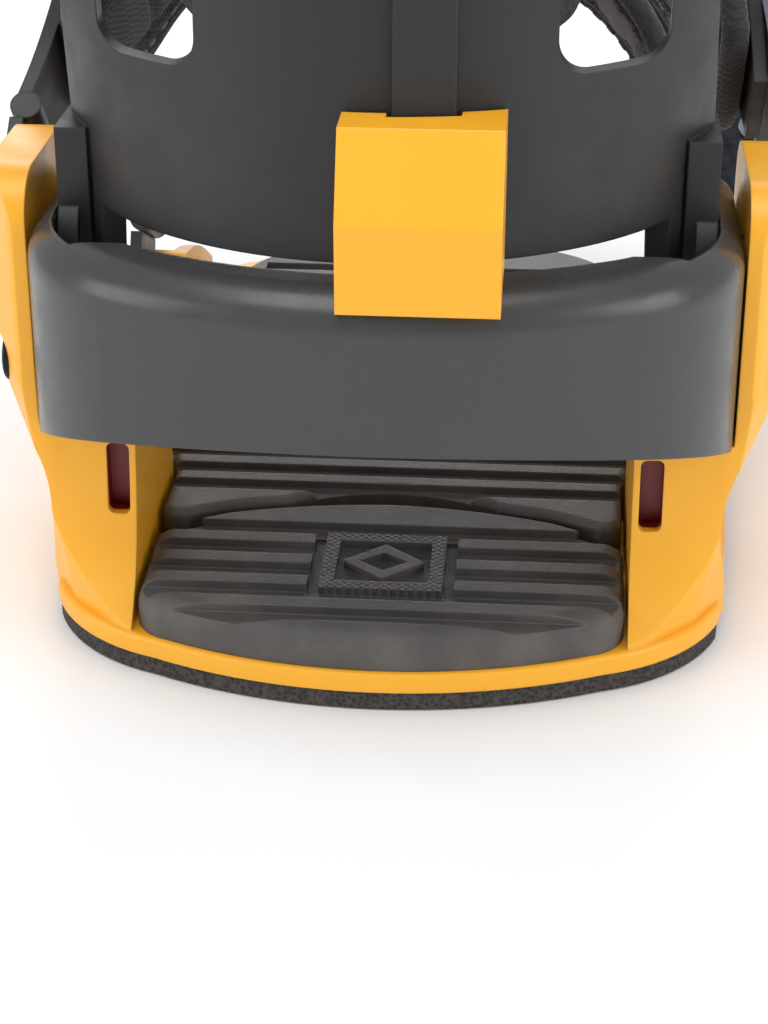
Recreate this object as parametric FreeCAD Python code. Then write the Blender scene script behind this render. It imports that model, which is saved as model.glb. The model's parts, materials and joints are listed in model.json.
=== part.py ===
import FreeCAD
import Part
import math
import os

# A strap binding for a snowboard or a splitboard, as separate pieces, in millimetres.
# Origin: on the board's surface, at the centre of the mounting disc.  +Y points to the toe, +Z up.
# Pieces that repeat on the left and the right share one node.

V = FreeCAD.Vector
PARTS = "parts"
X_AXIS, Y_AXIS, Z_AXIS = V(1, 0, 0), V(0, 1, 0), V(0, 0, 1)

# ---- clearances -----------------------------------------------------------------------
GAP = 0.3               # between pieces that lie beside each other
RUN = 0.15              # round a pin, a bolt or a tooth
SLIDE = 0.2             # under a piece that slides
GLUE = 0.1              # between a pad and the shell that it is glued to

# ---- base -----------------------------------------------------------------------------
FOAM_T = 3.5
FLOOR_T = 3.7
HEEL_Y = -108.0         # rear edge
HEEL_R = 92.0           # radius of the rear edge
HEEL_CORNER_X = 40.5    # where the rear edge meets the corner
SIDE_REAR = (62.2, -77.0)
SIDE_HALF_W = 66.0      # widest half width
SIDE_WIDEST_Y = -20.0
SIDE_FRONT = (61.0, 70.0)
TOE_CORNER_X = 38.0
TOE_Y = 112.0           # front edge
RIM_R = 1.0             # rounding of the floor's rim

# ---- towers, arms and rails -----------------------------------------------------------
BAY_HEEL = 44.8         # half width between the towers
BAY_TOE = 57.0          # half width between the rails
BAY_HEEL_Y = -46.0
BAY_TOE_Y = -20.0
TOWER_FACE = ((-97.0, 7.0), (-91.6, 12.0), (-87.0, 20.0), (-84.4, 30.0), (-83.2, 41.6), (-83.0, 52.0))
TOWER_FACE_OUT = ((-88.0, 7.0), (-84.6, 12.0), (-82.0, 20.0), (-81.2, 30.0), (-82.0, 41.6), (-83.0, 52.0))
TOWER_SIDE = ((63.4, 3.5), (63.0, 10.0), (61.0, 24.0), (63.2, 36.0), (68.0, 45.5), (70.5, 55.0))
TOWER_PLAN_LOW = ((40.0, -99.5), (48.5, -93.4), (57.0, -84.6), (63.2, -73.0), (64.5, -20.0), (40.0, -20.0))
TOWER_PLAN_HIGH = ((40.0, -99.5), (56.5, -87.6), (65.5, -82.6), (70.7, -74.0), (71.0, -20.0), (40.0, -20.0))
TOWER_PLAN_Z = 50.0     # the plan widens from the floor up to here
TOWER_PLAN_R = 4.0
SHOULDER_Z = 41.6       # the heelcup's arms lie above this
ARM_TOP = 88.0
ARM_FRONT_Y = -43.0
ARM_CORNER = 9.0
RAIL_INSET = 2.0        # rails stand in from the rim
RAIL_TOP = ((-46.0, 47.0), (-22.0, 35.0), (4.0, 28.0), (30.0, 26.0), (58.0, 26.0), (80.0, 18.0), (99.0, 7.0))
POCKET_X = (46.0, 50.2)  # upright pocket in each tower's rear face
POCKET_Z = (25.5, 38.8)
POCKET_WALL = 4.6       # skin between the tower's face and the hollow behind the pocket
HOLLOW_X = (47.0, 54.0)
HOLLOW_Z = (18.0, 40.0)
HOLLOW_FRONT_Y = -52.0
POCKET_R = 1.2

# ---- mounting disc --------------------------------------------------------------------
DISC_R = 42.0
DISC_TOOTH_R = 47.0
DISC_TEETH = 72         # one tooth for every 5 degrees of stance angle
TOOTH_DEEP = 1.3
DISC_RIM_T = 3.0
DISC_RIM_Z = 5.4        # underside of the toothed rim
SEAT_RING_W = 4.0
BOARD_HOLE_PITCH = 40.0
BOARD_HOLE_R = 3.25
BOARD_SLOT = 16.0       # length of each slot
SCREW_HEAD_R = 6.0
SCREW_HEAD_DEEP = 3.6

# ---- footbed --------------------------------------------------------------------------
HEEL_PAD_HALF = 44.2
HEEL_PAD_REAR_IN = 1.2  # in from the rim
HEEL_PAD_TOP = 16.4
HEEL_PAD_SLOPE = 3.2    # degrees, down to the rear
HEEL_PAD_SHOULDER_Y = -71.6
HEEL_PAD_NECK = (30.5, -65.0)
HEEL_PAD_FRONT = -60.0
HEEL_PAD_NOSE_R = 4.4
HEEL_PAD_CORNER = 6.0   # plan rounding of its rear corners
RIB_PITCH = 7.6
RIB_GROOVE = 4.5
RIB_DEEP = 1.7
RIB_FIRST_Y = -100.2    # centre of the rearmost groove
EMBLEM_HALF = 11.2      # half the badge's width
EMBLEM_HALF_Y = 9.9     # half its length
EMBLEM_Y = -81.2
EMBLEM_FRAME = 2.6
EMBLEM_CHANNEL = 2.2
EMBLEM_DEEP = 1.3
LOZENGE_IN = 1.2        # between the lozenge's points and the frame
LOZENGE_W = 2.8
PAD_GAP = 2.6           # between the heel pad and the main pad
MAIN_PAD_HALF = 52.5
MAIN_PAD_TOP = 17.6
MAIN_PAD_FRONT = 41.0
WAVE_R = 33.0           # the main pad's rear edge bows round the heel pad
WAVE_Y = -85.5
PAD_GROOVE_Y = -53.8    # centre of the main pad's rearmost groove

# ---- toe ramp -------------------------------------------------------------------------
RAMP_REAR = 43.0
RAMP_LENGTH = 52.0
RAMP_HALF = 50.0
RAMP_TRAVEL = 12.0
RAMP_TOP = 16.8
RAMP_BEVEL = 2.2
CARRIER_T = 2.4
RAMP_SCREW_X, RAMP_SCREW_Y = 24.0, 66.0
RAMP_SCREW_R, RAMP_HEAD_R, RAMP_HEAD_T = 2.0, 4.6, 1.8

# ---- heelcup --------------------------------------------------------------------------
CUP_HALF_W = 62.0
CUP_WEB = 4.5
CUP_CORNER_R = 34.0
CUP_CORNER = (28.0, -79.5)
CUP_REAR_R = 90.0
CUP_REAR_CENTRE_Y = -31.0
CUP_Z = 42.0
CUP_TOP = 82.0
CUP_REAR_RISE = 13.0    # how much higher the lower edge is at the rear
CUP_RISE_Y = -85.0
CUP_EDGE_R = 7.0
CUP_FLANGE = 11.0
CUP_FRONT_Y = -46.0
CUP_BOLTS = ((-73.5, 51.5), (-58.5, 50.0))

# ---- fasteners of the side arms -------------------------------------------------------
BOLT_R = 2.5
BOLT_HEAD_R, BOLT_HEAD_T = 4.6, 2.4
NUT_R, NUT_T, NUT_SLEEVE_R = 5.2, 1.2, 3.4
SOCKET_R, SOCKET_DEEP = 2.0, 1.5
HB_PIVOT = (-70.0, 74.0)
HB_EAR_R = 12.0
WASHER_R, WASHER_T = 6.5, 0.8
HB_SEAT_R = 7.5         # room for the washer, inside the ear

# ---- highback -------------------------------------------------------------------------
HB_T = 3.6
HB_SIDE_GAP = 0.5       # between the ears and the heelcup
HB_EAR_X = CUP_HALF_W - CUP_WEB - HB_SIDE_GAP
HB_IN = 0.6             # the back stands in from the ears' outer faces
HB_REAR_LOW = -108.5
HB_LEAN = 0.09          # forward for every unit up
# Height, half width and front edge of each section.
HB_SECTIONS = ((64.0, HB_EAR_X - HB_IN, -62.0), (92.0, HB_EAR_X - HB_IN, -66.0),
               (125.0, HB_EAR_X - 2.0, -78.0), (170.0, HB_EAR_X - 3.0, -84.0),
               (220.0, HB_EAR_X - 6.0, -84.0), (272.0, HB_EAR_X - 13.0, -82.0))
LINER_T = 5.0
LINER_LOW, LINER_HIGH = 118.0, 256.0
HB_OUTLINE = ((60.0, 70.0), (58.0, 100.0), (54.5, 150.0), (50.0, 200.0), (43.0, 240.0), (28.0, 262.0),
              (8.0, 268.0))
LINER_OUTLINE = ((30.0, LINER_LOW), (40.0, 142.0), (42.0, 190.0), (36.0, 232.0), (20.0, 253.0),
                 (6.0, LINER_HIGH))
HB_WINDOW_X, HB_WINDOW_HALF, HB_WINDOW_H, HB_WINDOW_R = 38.0, 9.0, 20.0, 5.0
HB_WINDOW_Z = (112.0, 142.0)
HB_OVER_CUP = 1.4       # gap over the heelcup's top

# ---- forward-lean adjuster ------------------------------------------------------------
LEAN_X = 8.4            # centre of the adjuster, beside the highback's middle
LEAN_W = 26.0
LEAN_REAR = -121.5
LEAN_LOW, LEAN_HIGH = 79.6, 108.0
RACK_W, RACK_T, RACK_HIGH = 10.0, 2.2, 138.0
LEAN_GAP = 0.9          # the highback changes shape a little along the travel

# ---- straps ---------------------------------------------------------------------------
STRAP_T = 2.6
PAD_T = 6.0
LADDER_T = 2.2
LADDER_W = 22.0
TOOTH_PITCH_DEG = 1.7
TOOTH_H, TOOTH_W = 1.2, 11.0
PAWL_W = TOOTH_W - 1.0
BUCKLE_W = 30.0
BUCKLE_WALL = 2.2
BUCKLE_FLOOR = 2.6
BUCKLE_DEG = 17.0       # length of the buckle, as an angle about the strap's hinge
BUCKLE_H = 12.4         # side walls over the ladder's underside
LEVER_PIN_DEG, LEVER_PIN_H = 4.0, 9.4
CATCH_PIN_DEG, CATCH_PIN_H = 11.6, 7.6
PIN_R = 1.6
SPRING_R = PIN_R + RUN + 0.5
SPRING_ROOM_R = SPRING_R + 0.9
SPRING_SPACE = 2.6      # half the gap in a hub for its spring
WIRE_R = 0.45
WIRE_PITCH = 0.86
COILS = 5
# Lever and catch: heights over the toothed strap's underside, and angles on from the pin.
LEVER_HUB_R = 4.2
LEVER_NECK = (8.6, 4.4)         # height where the neck begins, angle where it ends
LEVER_ARM = (13.2, 15.4)        # underside and top
LEVER_LIP_TOP = 17.4
LEVER_ARM_DEG = (3.8, 15.2)
LEVER_LIP_DEG = 14.4
LEVER_OVERHANG = 1.0            # the arm covers the side walls
LEVER_WINDOW_DEG = (6.4, 12.4)
LEVER_WINDOW_HALF = 8.0
LEVER_WINDOW_R = 3.0
CATCH_HUB_R = 3.1
CATCH_PLATE = (-0.2, 2.2)       # underside and top, over the pin
CATCH_TAB_TOP = 5.0
CATCH_TAB_DEG = 8.2
CATCH_END_DEG = 9.0
RIVET_R, RIVET_HEAD_R, RIVET_HEAD_T = 2.0, 3.4, 1.0
LINK_T = 2.6            # strap ends beside the arms
LINK_GAP = 0.5
LINK_HALF = 9.5         # half width of a strap's end
EYE_R = 3.0
# Each strap's own values: half span, pivot, lean, height of the hinge over the pivot, radius over
# the boot, angle where that radius begins, half widths of the pad by height, and the pad's ends.
ANKLE = dict(name="ankle", half=71.0, y=-54.0, z=65.0, lean=50.0, hinge=26.0, top=60.0, join=22.0,
             leaf=((20.0, 12.0), (40.0, 14.0), (62.0, 24.0), (88.0, 31.0), (124.0, 33.0)),
             pad_low=41.0, buckle=4.0, ladder_end=31.0)
TOE = dict(name="toe", half=67.0, y=52.0, z=17.5, lean=25.0, hinge=16.0, top=54.0, join=15.0,
           leaf=((6.0, 12.0), (30.0, 13.0), (50.0, 18.0), (70.0, 21.0), (100.0, 22.0)),
           pad_low=31.0, buckle=-2.0, ladder_end=24.0)
TOE_BOSS_R = 9.5


# ============================== helpers ================================================
def save(name, shape):
    """Writes one node: one solid, or a group of separate solids."""
    solids = shape.Solids
    if not solids:
        raise ValueError(name + " has no solid")
    for solid in solids:
        if not solid.isValid() or solid.Volume <= 0:
            raise ValueError(name + " holds a bad solid")
    out = solids[0] if len(solids) == 1 else Part.makeCompound(solids)
    out.exportStep(os.path.join(PARTS, name + ".step"))


def mirrored(shape):
    return shape.mirror(V(0, 0, 0), X_AXIS)


def both_sides(shape):
    return Part.makeCompound(shape.Solids + mirrored(shape).Solids)


def joined(first, *others):
    return first.fuse(list(others)).removeSplitter()


def box(x0, x1, y0, y1, z0, z1):
    return Part.makeBox(x1 - x0, y1 - y0, z1 - z0, V(x0, y0, z0))


def rod(x0, x1, y, z, r):
    """A cylinder along X."""
    return Part.makeCylinder(r, x1 - x0, V(x0, y, z), X_AXIS)


def post(x, y, z0, z1, r):
    """A cylinder along Z."""
    return Part.makeCylinder(r, z1 - z0, V(x, y, z0), Z_AXIS)


def arc(a, b, c):
    return Part.Arc(a, b, c).toShape()


def line(a, b):
    return Part.makeLine(a, b)


def curve(points):
    """A smooth edge through points."""
    spline = Part.BSplineCurve()
    spline.interpolate(points)
    return spline.toShape()


def polygon(points):
    return Part.makePolygon(points + [points[0]])


def rounded(points, radius):
    """A closed wire through points, with every corner an arc."""
    corners = []
    count = len(points)
    for i in range(count):
        p = points[i]
        u = (points[i - 1] - p).normalize()
        w = (points[(i + 1) % count] - p).normalize()
        half = math.acos(u.dot(w)) / 2
        reach = radius / math.tan(half)
        inward = (u + w).normalize()
        middle = p + inward * (radius / math.sin(half) - radius)
        corners.append((p + u * reach, middle, p + w * reach))
    edges = []
    for i in range(count):
        first, middle, last = corners[i]
        edges.append(arc(first, middle, last))
        edges.append(line(last, corners[(i + 1) % count][0]))
    return Part.Wire(edges)


def prism(wire, direction):
    return Part.Face(wire).extrude(direction)


def side_prism(points, half_width, radius=0.0):
    """A solid across the whole width, its outline given from the side as (y, z)."""
    at = [V(-half_width, y, z) for y, z in points]
    wire = rounded(at, radius) if radius else polygon(at)
    return prism(wire, V(2 * half_width, 0, 0))


def mirror_wire(edges):
    """A closed wire from edges on the right and their mirror images."""
    left = [e.mirror(V(0, 0, 0), X_AXIS) for e in edges]
    return Part.Wire(Part.__sortEdges__(edges + left))


def slot_x(x, y, z0, z1, r, length):
    """A slot along X about a centre."""
    half = length / 2 - r
    return joined(post(x - half, y, z0, z1, r), post(x + half, y, z0, z1, r),
                  box(x - half, x + half, y - r, y + r, z0, z1))


def slot_y(x, y0, y1, z0, z1, r):
    """A slot along Y, from one end's centre to the other's."""
    return joined(post(x, y0, z0, z1, r), post(x, y1, z0, z1, r), box(x - r, x + r, y0, y1, z0, z1))


def socket_cut(centre, axis, reach, deep):
    """A hexagonal socket that goes in along an axis."""
    other = Y_AXIS if abs(axis.dot(Y_AXIS)) < 0.9 else Z_AXIS
    u = axis.cross(other).normalize()
    w = axis.cross(u).normalize()
    turns = [math.pi * k / 3 for k in range(6)]
    return prism(polygon([centre + u * (reach * math.cos(t)) + w * (reach * math.sin(t)) for t in turns]),
                 axis * deep)


# ============================== base ===================================================
FLOOR_TOP = FOAM_T + FLOOR_T


def outline(z, inset=0.0):
    """The base's outline: heel arc, corner, side, toe corner and front arc."""
    centre_y = HEEL_Y + HEEL_R
    heel = V(HEEL_CORNER_X, centre_y - math.sqrt(HEEL_R ** 2 - HEEL_CORNER_X ** 2), z)
    side = V(SIDE_REAR[0], SIDE_REAR[1], z)
    front = V(SIDE_FRONT[0], SIDE_FRONT[1], z)
    toe = V(TOE_CORNER_X, TOE_Y - 5.0, z)
    half_x = HEEL_CORNER_X / 2
    edges = [
        arc(V(0, HEEL_Y, z), V(half_x, centre_y - math.sqrt(HEEL_R ** 2 - half_x ** 2), z), heel),
        arc(heel, V((heel.x + side.x) / 2 + 2.4, (heel.y + side.y) / 2 - 2.6, z), side),
        arc(side, V(SIDE_HALF_W, SIDE_WIDEST_Y, z), front),
        arc(front, V((front.x + toe.x) / 2 + 5.5, (front.y + toe.y) / 2 + 8.0, z), toe),
        arc(toe, V(TOE_CORNER_X / 2, TOE_Y - 1.25, z), V(0, TOE_Y, z)),
    ]
    wire = mirror_wire(edges)
    return wire.makeOffset2D(-inset) if inset else wire


def bay(z0, z1):
    """The space between the towers and between the rails."""
    right = [(BAY_HEEL, -140.0), (BAY_HEEL, BAY_HEEL_Y), (BAY_TOE, BAY_TOE_Y), (BAY_TOE, 140.0)]
    points = right + [(-x, y) for x, y in reversed(right)]
    return prism(polygon([V(x, y, z0) for x, y in points]), V(0, 0, z1 - z0))


def floor_plate():
    plate = prism(outline(FOAM_T), V(0, 0, FLOOR_T))
    rim = [e for e in plate.Edges if e.BoundBox.ZMin > FLOOR_TOP - 0.01]
    return plate.makeFillet(RIM_R, rim)


def rails():
    """Both side walls, falling towards the toe."""
    wall = prism(outline(FOAM_T, RAIL_INSET), V(0, 0, RAIL_TOP[0][1]))
    top = [V(-90, y, z) for y, z in RAIL_TOP]
    rear, front = V(-90, -80.0, FOAM_T), V(-90, RAIL_TOP[-1][0], FOAM_T)
    corner = V(-90, -80.0, SHOULDER_Z)
    shoulder = V(-90, RAIL_TOP[0][0], SHOULDER_Z)
    edges = [curve(top), line(top[-1], front), line(front, rear), line(rear, corner)]
    edges += [line(corner, shoulder), line(shoulder, top[0])]
    return wall.common(prism(Part.Wire(Part.__sortEdges__(edges)), V(180, 0, 0)))


def arm_profile(face, x):
    """A tower's and arm's outline from the side, at a distance from the middle."""
    top_rear, top_front = face[-1][0], ARM_FRONT_Y
    r = ARM_CORNER
    k = r * (1 - math.sqrt(0.5))
    rise = [V(x, y, z) for y, z in face]
    edges = [
        curve(rise),
        line(rise[-1], V(x, top_rear, ARM_TOP - r)),
        arc(V(x, top_rear, ARM_TOP - r), V(x, top_rear + k, ARM_TOP - k), V(x, top_rear + r, ARM_TOP)),
        line(V(x, top_rear + r, ARM_TOP), V(x, top_front - r, ARM_TOP)),
        arc(V(x, top_front - r, ARM_TOP), V(x, top_front - k, ARM_TOP - k), V(x, top_front, ARM_TOP - r)),
        line(V(x, top_front, ARM_TOP - r), V(x, top_front + 4.0, 50.0)),
        line(V(x, top_front + 4.0, 50.0), V(x, top_front + 16.0, FOAM_T)),
        line(V(x, top_front + 16.0, FOAM_T), V(x, face[0][0], FOAM_T)),
        line(V(x, face[0][0], FOAM_T), rise[0]),
    ]
    return Part.Wire(edges)


def tower_plan():
    """What the tower keeps, seen from above: its rear corner is cut off along the rim."""
    low, high = [
        [V(x, y, 0) for x, y in points] for points in (TOWER_PLAN_LOW, TOWER_PLAN_HIGH)]
    wires = []
    for points, z in ((low, FOAM_T), (low, FLOOR_TOP), (high, TOWER_PLAN_Z), (high, ARM_TOP + 5)):
        wire = rounded(points, TOWER_PLAN_R)
        wire.translate(V(0, 0, z))
        wires.append(wire)
    return Part.makeLoft(wires, True, True)


def tower():
    """The right tower with its arm: a concave rear face, and a side that flares outwards."""
    widest = TOWER_SIDE[-1][0]
    body = Part.makeLoft([arm_profile(TOWER_FACE, BAY_HEEL), arm_profile(TOWER_FACE_OUT, widest)], True, True)
    side = [V(x, -130, z) for x, z in TOWER_SIDE]
    over, edge = V(widest, -130, ARM_TOP + 5), V(BAY_HEEL - 1, -130, ARM_TOP + 5)
    under = V(BAY_HEEL - 1, -130, FOAM_T)
    edges = [curve(side), line(side[-1], over), line(over, edge), line(edge, under), line(under, side[0])]
    body = body.common(prism(Part.Wire(edges), V(0, 120, 0))).common(tower_plan())
    body = body.cut(box(0, CUP_HALF_W + GAP, -130, 0, SHOULDER_Z, ARM_TOP + 10))
    pocket = box(POCKET_X[0], POCKET_X[1], -100, HOLLOW_FRONT_Y, POCKET_Z[0], POCKET_Z[1])
    pocket = pocket.makeFillet(POCKET_R, [e for e in pocket.Edges if e.BoundBox.YLength > 20])
    hollow = box(HOLLOW_X[0], HOLLOW_X[1], -100, HOLLOW_FRONT_Y, HOLLOW_Z[0], HOLLOW_Z[1])
    skin = [V(BAY_HEEL - 2, y + POCKET_WALL, z) for y, z in TOWER_FACE]
    skin += [V(BAY_HEEL - 2, 0, TOWER_FACE[-1][1]), V(BAY_HEEL - 2, 0, TOWER_FACE[0][1])]
    hollow = hollow.common(prism(polygon(skin), V(30, 0, 0)))
    return body.cut([pocket, hollow])


def baseplate():
    """Floor, towers with arms and rails, in one moulding."""
    body = floor_plate().fuse([rails(), tower(), mirrored(tower())])
    body = body.cut(bay(FLOOR_TOP, ARM_TOP + 10))
    body = body.fuse(floor_plate())
    body = body.fuse(post(0, 0, FOAM_T, DISC_RIM_Z + DISC_RIM_T, DISC_TOOTH_R + SEAT_RING_W))
    body = body.cut([post(0, 0, 0, 30, DISC_R + GAP), toothed_disc(DISC_RIM_Z - SLIDE, 30.0, RUN)])
    toe_x = TOE["half"] - LINK_GAP
    boss = rod(BAY_TOE, toe_x, TOE["y"], TOE["z"], TOE_BOSS_R)
    body = body.fuse([boss, mirrored(boss)])
    cuts = [bolt_space(y, z, CUP_HALF_W, arm_x(z)) for y, z in CUP_BOLTS + (HB_PIVOT,)]
    cuts.append(rod(CUP_HALF_W - 5, 90, ANKLE["y"], ANKLE["z"], BOLT_R + RUN))
    cuts.append(rod(BAY_TOE - 5, 90, TOE["y"], TOE["z"], BOLT_R + RUN))
    cuts.append(rod(BAY_TOE - 5, BAY_TOE + NUT_T, TOE["y"], TOE["z"], NUT_R + RUN))
    cuts += [mirrored(c) for c in cuts]
    for x in (-RAMP_SCREW_X, RAMP_SCREW_X):
        cuts.append(slot_y(x, RAMP_SCREW_Y, RAMP_SCREW_Y + RAMP_TRAVEL, 0, 20, RAMP_SCREW_R + RUN))
    return body.cut(cuts).removeSplitter()


def arm_x(z):
    """Seat of a bolt's head, let into the arm's outer face."""
    widest = TOWER_SIDE[-1][0]
    if z < TOWER_SIDE[-1][1]:
        return widest - BOLT_HEAD_T - 0.9
    return widest - BOLT_HEAD_T - 0.2


def bolt_space(y, z, inner, seat):
    """What a side bolt needs: a hole and a seat for its head."""
    return joined(rod(inner - 5, 90, y, z, BOLT_R + RUN), rod(seat, 90, y, z, BOLT_HEAD_R + RUN))


def side_bolt(y, z, inner, seat):
    """A bolt along X with a flat head and a hexagonal socket."""
    head = rod(seat, seat + BOLT_HEAD_T, y, z, BOLT_HEAD_R)
    head = head.makeFillet(0.8, [e for e in head.Edges if e.BoundBox.XMin > seat + BOLT_HEAD_T - 0.01])
    body = joined(head, rod(inner, seat, y, z, BOLT_R))
    return body.cut(socket_cut(V(seat + BOLT_HEAD_T, y, z), V(-1, 0, 0), SOCKET_R, SOCKET_DEEP))


def foam_base_pad():
    pad = prism(outline(0, 0.4), V(0, 0, FOAM_T))
    pad = pad.cut(post(0, 0, -1, 10, DISC_R + 3.0))
    for x in (-RAMP_SCREW_X, RAMP_SCREW_X):
        pad = pad.cut(slot_y(x, RAMP_SCREW_Y, RAMP_SCREW_Y + RAMP_TRAVEL, -1, 10, RAMP_HEAD_R + 1.0))
    return pad


# ============================== mounting disc ==========================================
def toothed_disc(z0, z1, grow):
    """A flat disc with a tooth for every step of the stance angle."""
    points = []
    for i in range(DISC_TEETH):
        for share, radius in ((0.0, DISC_TOOTH_R - TOOTH_DEEP), (0.5, DISC_TOOTH_R)):
            turn = 2 * math.pi * (i + share) / DISC_TEETH
            points.append(V((radius + grow) * math.cos(turn), (radius + grow) * math.sin(turn), z0))
    return prism(polygon(points), V(0, 0, z1 - z0))


def mounting_disc():
    top = DISC_RIM_Z + DISC_RIM_T
    body = joined(post(0, 0, 0, top, DISC_R), toothed_disc(DISC_RIM_Z, top, 0.0))
    for sx in (-1, 1):
        for sy in (-1, 1):
            x, y = sx * BOARD_HOLE_PITCH / 2, sy * BOARD_HOLE_PITCH / 2
            body = body.cut(slot_x(x, y, -1, 20, BOARD_HOLE_R, BOARD_SLOT))
            wide = BOARD_SLOT + 2 * (SCREW_HEAD_R - BOARD_HOLE_R)
            body = body.cut(slot_x(x, y, top - SCREW_HEAD_DEEP, 20, SCREW_HEAD_R, wide))
    return body


# ============================== footbed ================================================
def heel_pad_top(y):
    """Height of the heel pad's top at a place along it."""
    return HEEL_PAD_TOP - (HEEL_PAD_SHOULDER_Y - y) * math.tan(math.radians(HEEL_PAD_SLOPE))


def tilted(shape, z):
    """Tilts a cutter about the heel pad's shoulder line, down to the rear."""
    out = shape.copy()
    out.rotate(V(0, HEEL_PAD_SHOULDER_Y, z), X_AXIS, HEEL_PAD_SLOPE)
    return out


def heel_pad_wire(z, gap=0.0):
    """Plan of the heel pad: rear along the rim, straight sides, a neck and a round front."""
    half = HEEL_PAD_HALF
    neck_x, neck_y = HEEL_PAD_NECK
    rear_r = HEEL_R - HEEL_PAD_REAR_IN
    centre_y = HEEL_Y + HEEL_R
    corner_x = half - HEEL_PAD_CORNER
    corner = V(corner_x, centre_y - math.sqrt(rear_r ** 2 - corner_x ** 2), z)
    turn = V(half, corner.y + HEEL_PAD_CORNER * 1.5, z)
    edges = [
        arc(V(0, centre_y - rear_r, z), V(20, centre_y - math.sqrt(rear_r ** 2 - 400), z), corner),
        arc(corner, V(half - HEEL_PAD_CORNER * 0.22, corner.y + HEEL_PAD_CORNER * 0.6, z), turn),
        line(turn, V(half, HEEL_PAD_SHOULDER_Y, z)),
        line(V(half, HEEL_PAD_SHOULDER_Y, z), V(neck_x, neck_y, z)),
        arc(V(neck_x, neck_y, z), V(neck_x * 0.55, HEEL_PAD_FRONT - 1.7, z), V(0, HEEL_PAD_FRONT, z)),
    ]
    wire = mirror_wire(edges)
    return wire.makeOffset2D(gap) if gap else wire


def emblem_block(inset, z0, z1):
    """A block over the badge, in from its outline."""
    half_x, half_y = EMBLEM_HALF - inset, EMBLEM_HALF_Y - inset
    return box(-half_x, half_x, EMBLEM_Y - half_y, EMBLEM_Y + half_y, z0, z1)


def emblem_cuts():
    """A square badge: side channels, and a sunk floor round a lozenge inside a frame."""
    z = heel_pad_top(EMBLEM_Y)
    side = EMBLEM_HALF + EMBLEM_CHANNEL
    outer = box(-side, side, EMBLEM_Y - EMBLEM_HALF_Y, EMBLEM_Y + EMBLEM_HALF_Y, z - RIB_DEEP, z + 5)
    frame = emblem_block(0.0, 0, z + 6)
    floor = emblem_block(EMBLEM_FRAME, z - EMBLEM_DEEP, z + 5)
    lozenge = []
    for inset in (EMBLEM_FRAME + LOZENGE_IN, EMBLEM_FRAME + LOZENGE_IN + LOZENGE_W):
        x, y = EMBLEM_HALF - inset, EMBLEM_HALF_Y - inset
        corners = [V(x, EMBLEM_Y, 0), V(0, EMBLEM_Y + y, 0), V(-x, EMBLEM_Y, 0), V(0, EMBLEM_Y - y, 0)]
        lozenge.append(prism(polygon(corners), V(0, 0, 40)))
    low = floor.cut(lozenge[0].cut(lozenge[1]))
    return [tilted(outer.cut(frame), z), tilted(low, z)], tilted(frame, z)


def heel_pad():
    body = prism(heel_pad_wire(FLOOR_TOP), V(0, 0, 30))
    body = body.cut(tilted(box(-90, 90, -160, 0, HEEL_PAD_TOP, 60), HEEL_PAD_TOP))
    nose = [e for e in body.Edges if e.BoundBox.ZMin > FLOOR_TOP + 3
            and e.BoundBox.YMax < HEEL_PAD_SHOULDER_Y - 10]
    body = body.makeFillet(HEEL_PAD_NOSE_R, nose)
    cuts, frame = emblem_cuts()
    grooves = []
    y = RIB_FIRST_Y
    while y < HEEL_PAD_FRONT - 4:
        z = heel_pad_top(y)
        groove = box(-90, 90, y - RIB_GROOVE / 2, y + RIB_GROOVE / 2, z - RIB_DEEP, z + 8)
        grooves.append(groove.cut(frame))
        y += RIB_PITCH
    return body.cut(grooves + cuts).removeSplitter()


def main_pad():
    """The footbed over the disc; its rear edge wraps round the heel pad, with a wave in it."""
    low = DISC_RIM_Z + DISC_RIM_T + GAP
    heel, toe, front = BAY_HEEL - 1.0, MAIN_PAD_HALF, MAIN_PAD_FRONT
    rear = HEEL_PAD_SHOULDER_Y + 5.0
    right = [(heel, rear), (heel, BAY_HEEL_Y), (toe, BAY_TOE_Y), (toe, front)]
    points = [V(x, y, FLOOR_TOP) for x, y in right + [(-x, y) for x, y in reversed(right)]]
    body = prism(rounded(points, 3.0), V(0, 0, MAIN_PAD_TOP - FLOOR_TOP))
    body = body.cut(prism(heel_pad_wire(0, PAD_GAP), V(0, 0, 60)))
    body = body.cut(post(0, WAVE_Y, 0, 60, WAVE_R))
    body = body.cut(post(0, 0, 0, low, DISC_TOOTH_R + SEAT_RING_W + GAP))
    rim = [e for e in body.Edges if e.BoundBox.ZMin > MAIN_PAD_TOP - 0.01]
    body = body.makeFillet(1.6, rim)
    grooves = []
    y = PAD_GROOVE_Y
    while y < front - 6:
        z = MAIN_PAD_TOP
        grooves.append(box(-90, 90, y - RIB_GROOVE / 2, y + RIB_GROOVE / 2, z - RIB_DEEP, z + 5))
        y += RIB_PITCH
    return body.cut(grooves)


def ramp_wire(z, inset=0.0):
    rear, front, half = RAMP_REAR + inset, RAMP_REAR + RAMP_LENGTH - inset, RAMP_HALF - inset
    edges = [
        line(V(0, rear, z), V(half, rear, z)),
        line(V(half, rear, z), V(half - 3.0, front - 22.0, z)),
        arc(V(half - 3.0, front - 22.0, z), V(half - 14.0, front - 7.0, z), V(half - 30.0, front - 1.2, z)),
        arc(V(half - 30.0, front - 1.2, z), V((half - 30.0) / 2, front - 0.3, z), V(0, front, z)),
    ]
    return mirror_wire(edges)


def toe_ramp_carrier():
    body = prism(ramp_wire(FLOOR_TOP + SLIDE, 1.5), V(0, 0, CARRIER_T))
    body = body.cut(post(0, 0, 0, 30, DISC_TOOTH_R + SEAT_RING_W + GAP))
    for x in (-RAMP_SCREW_X, RAMP_SCREW_X):
        body = body.cut(post(x, RAMP_SCREW_Y, 0, 30, RAMP_SCREW_R))
    return body


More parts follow.
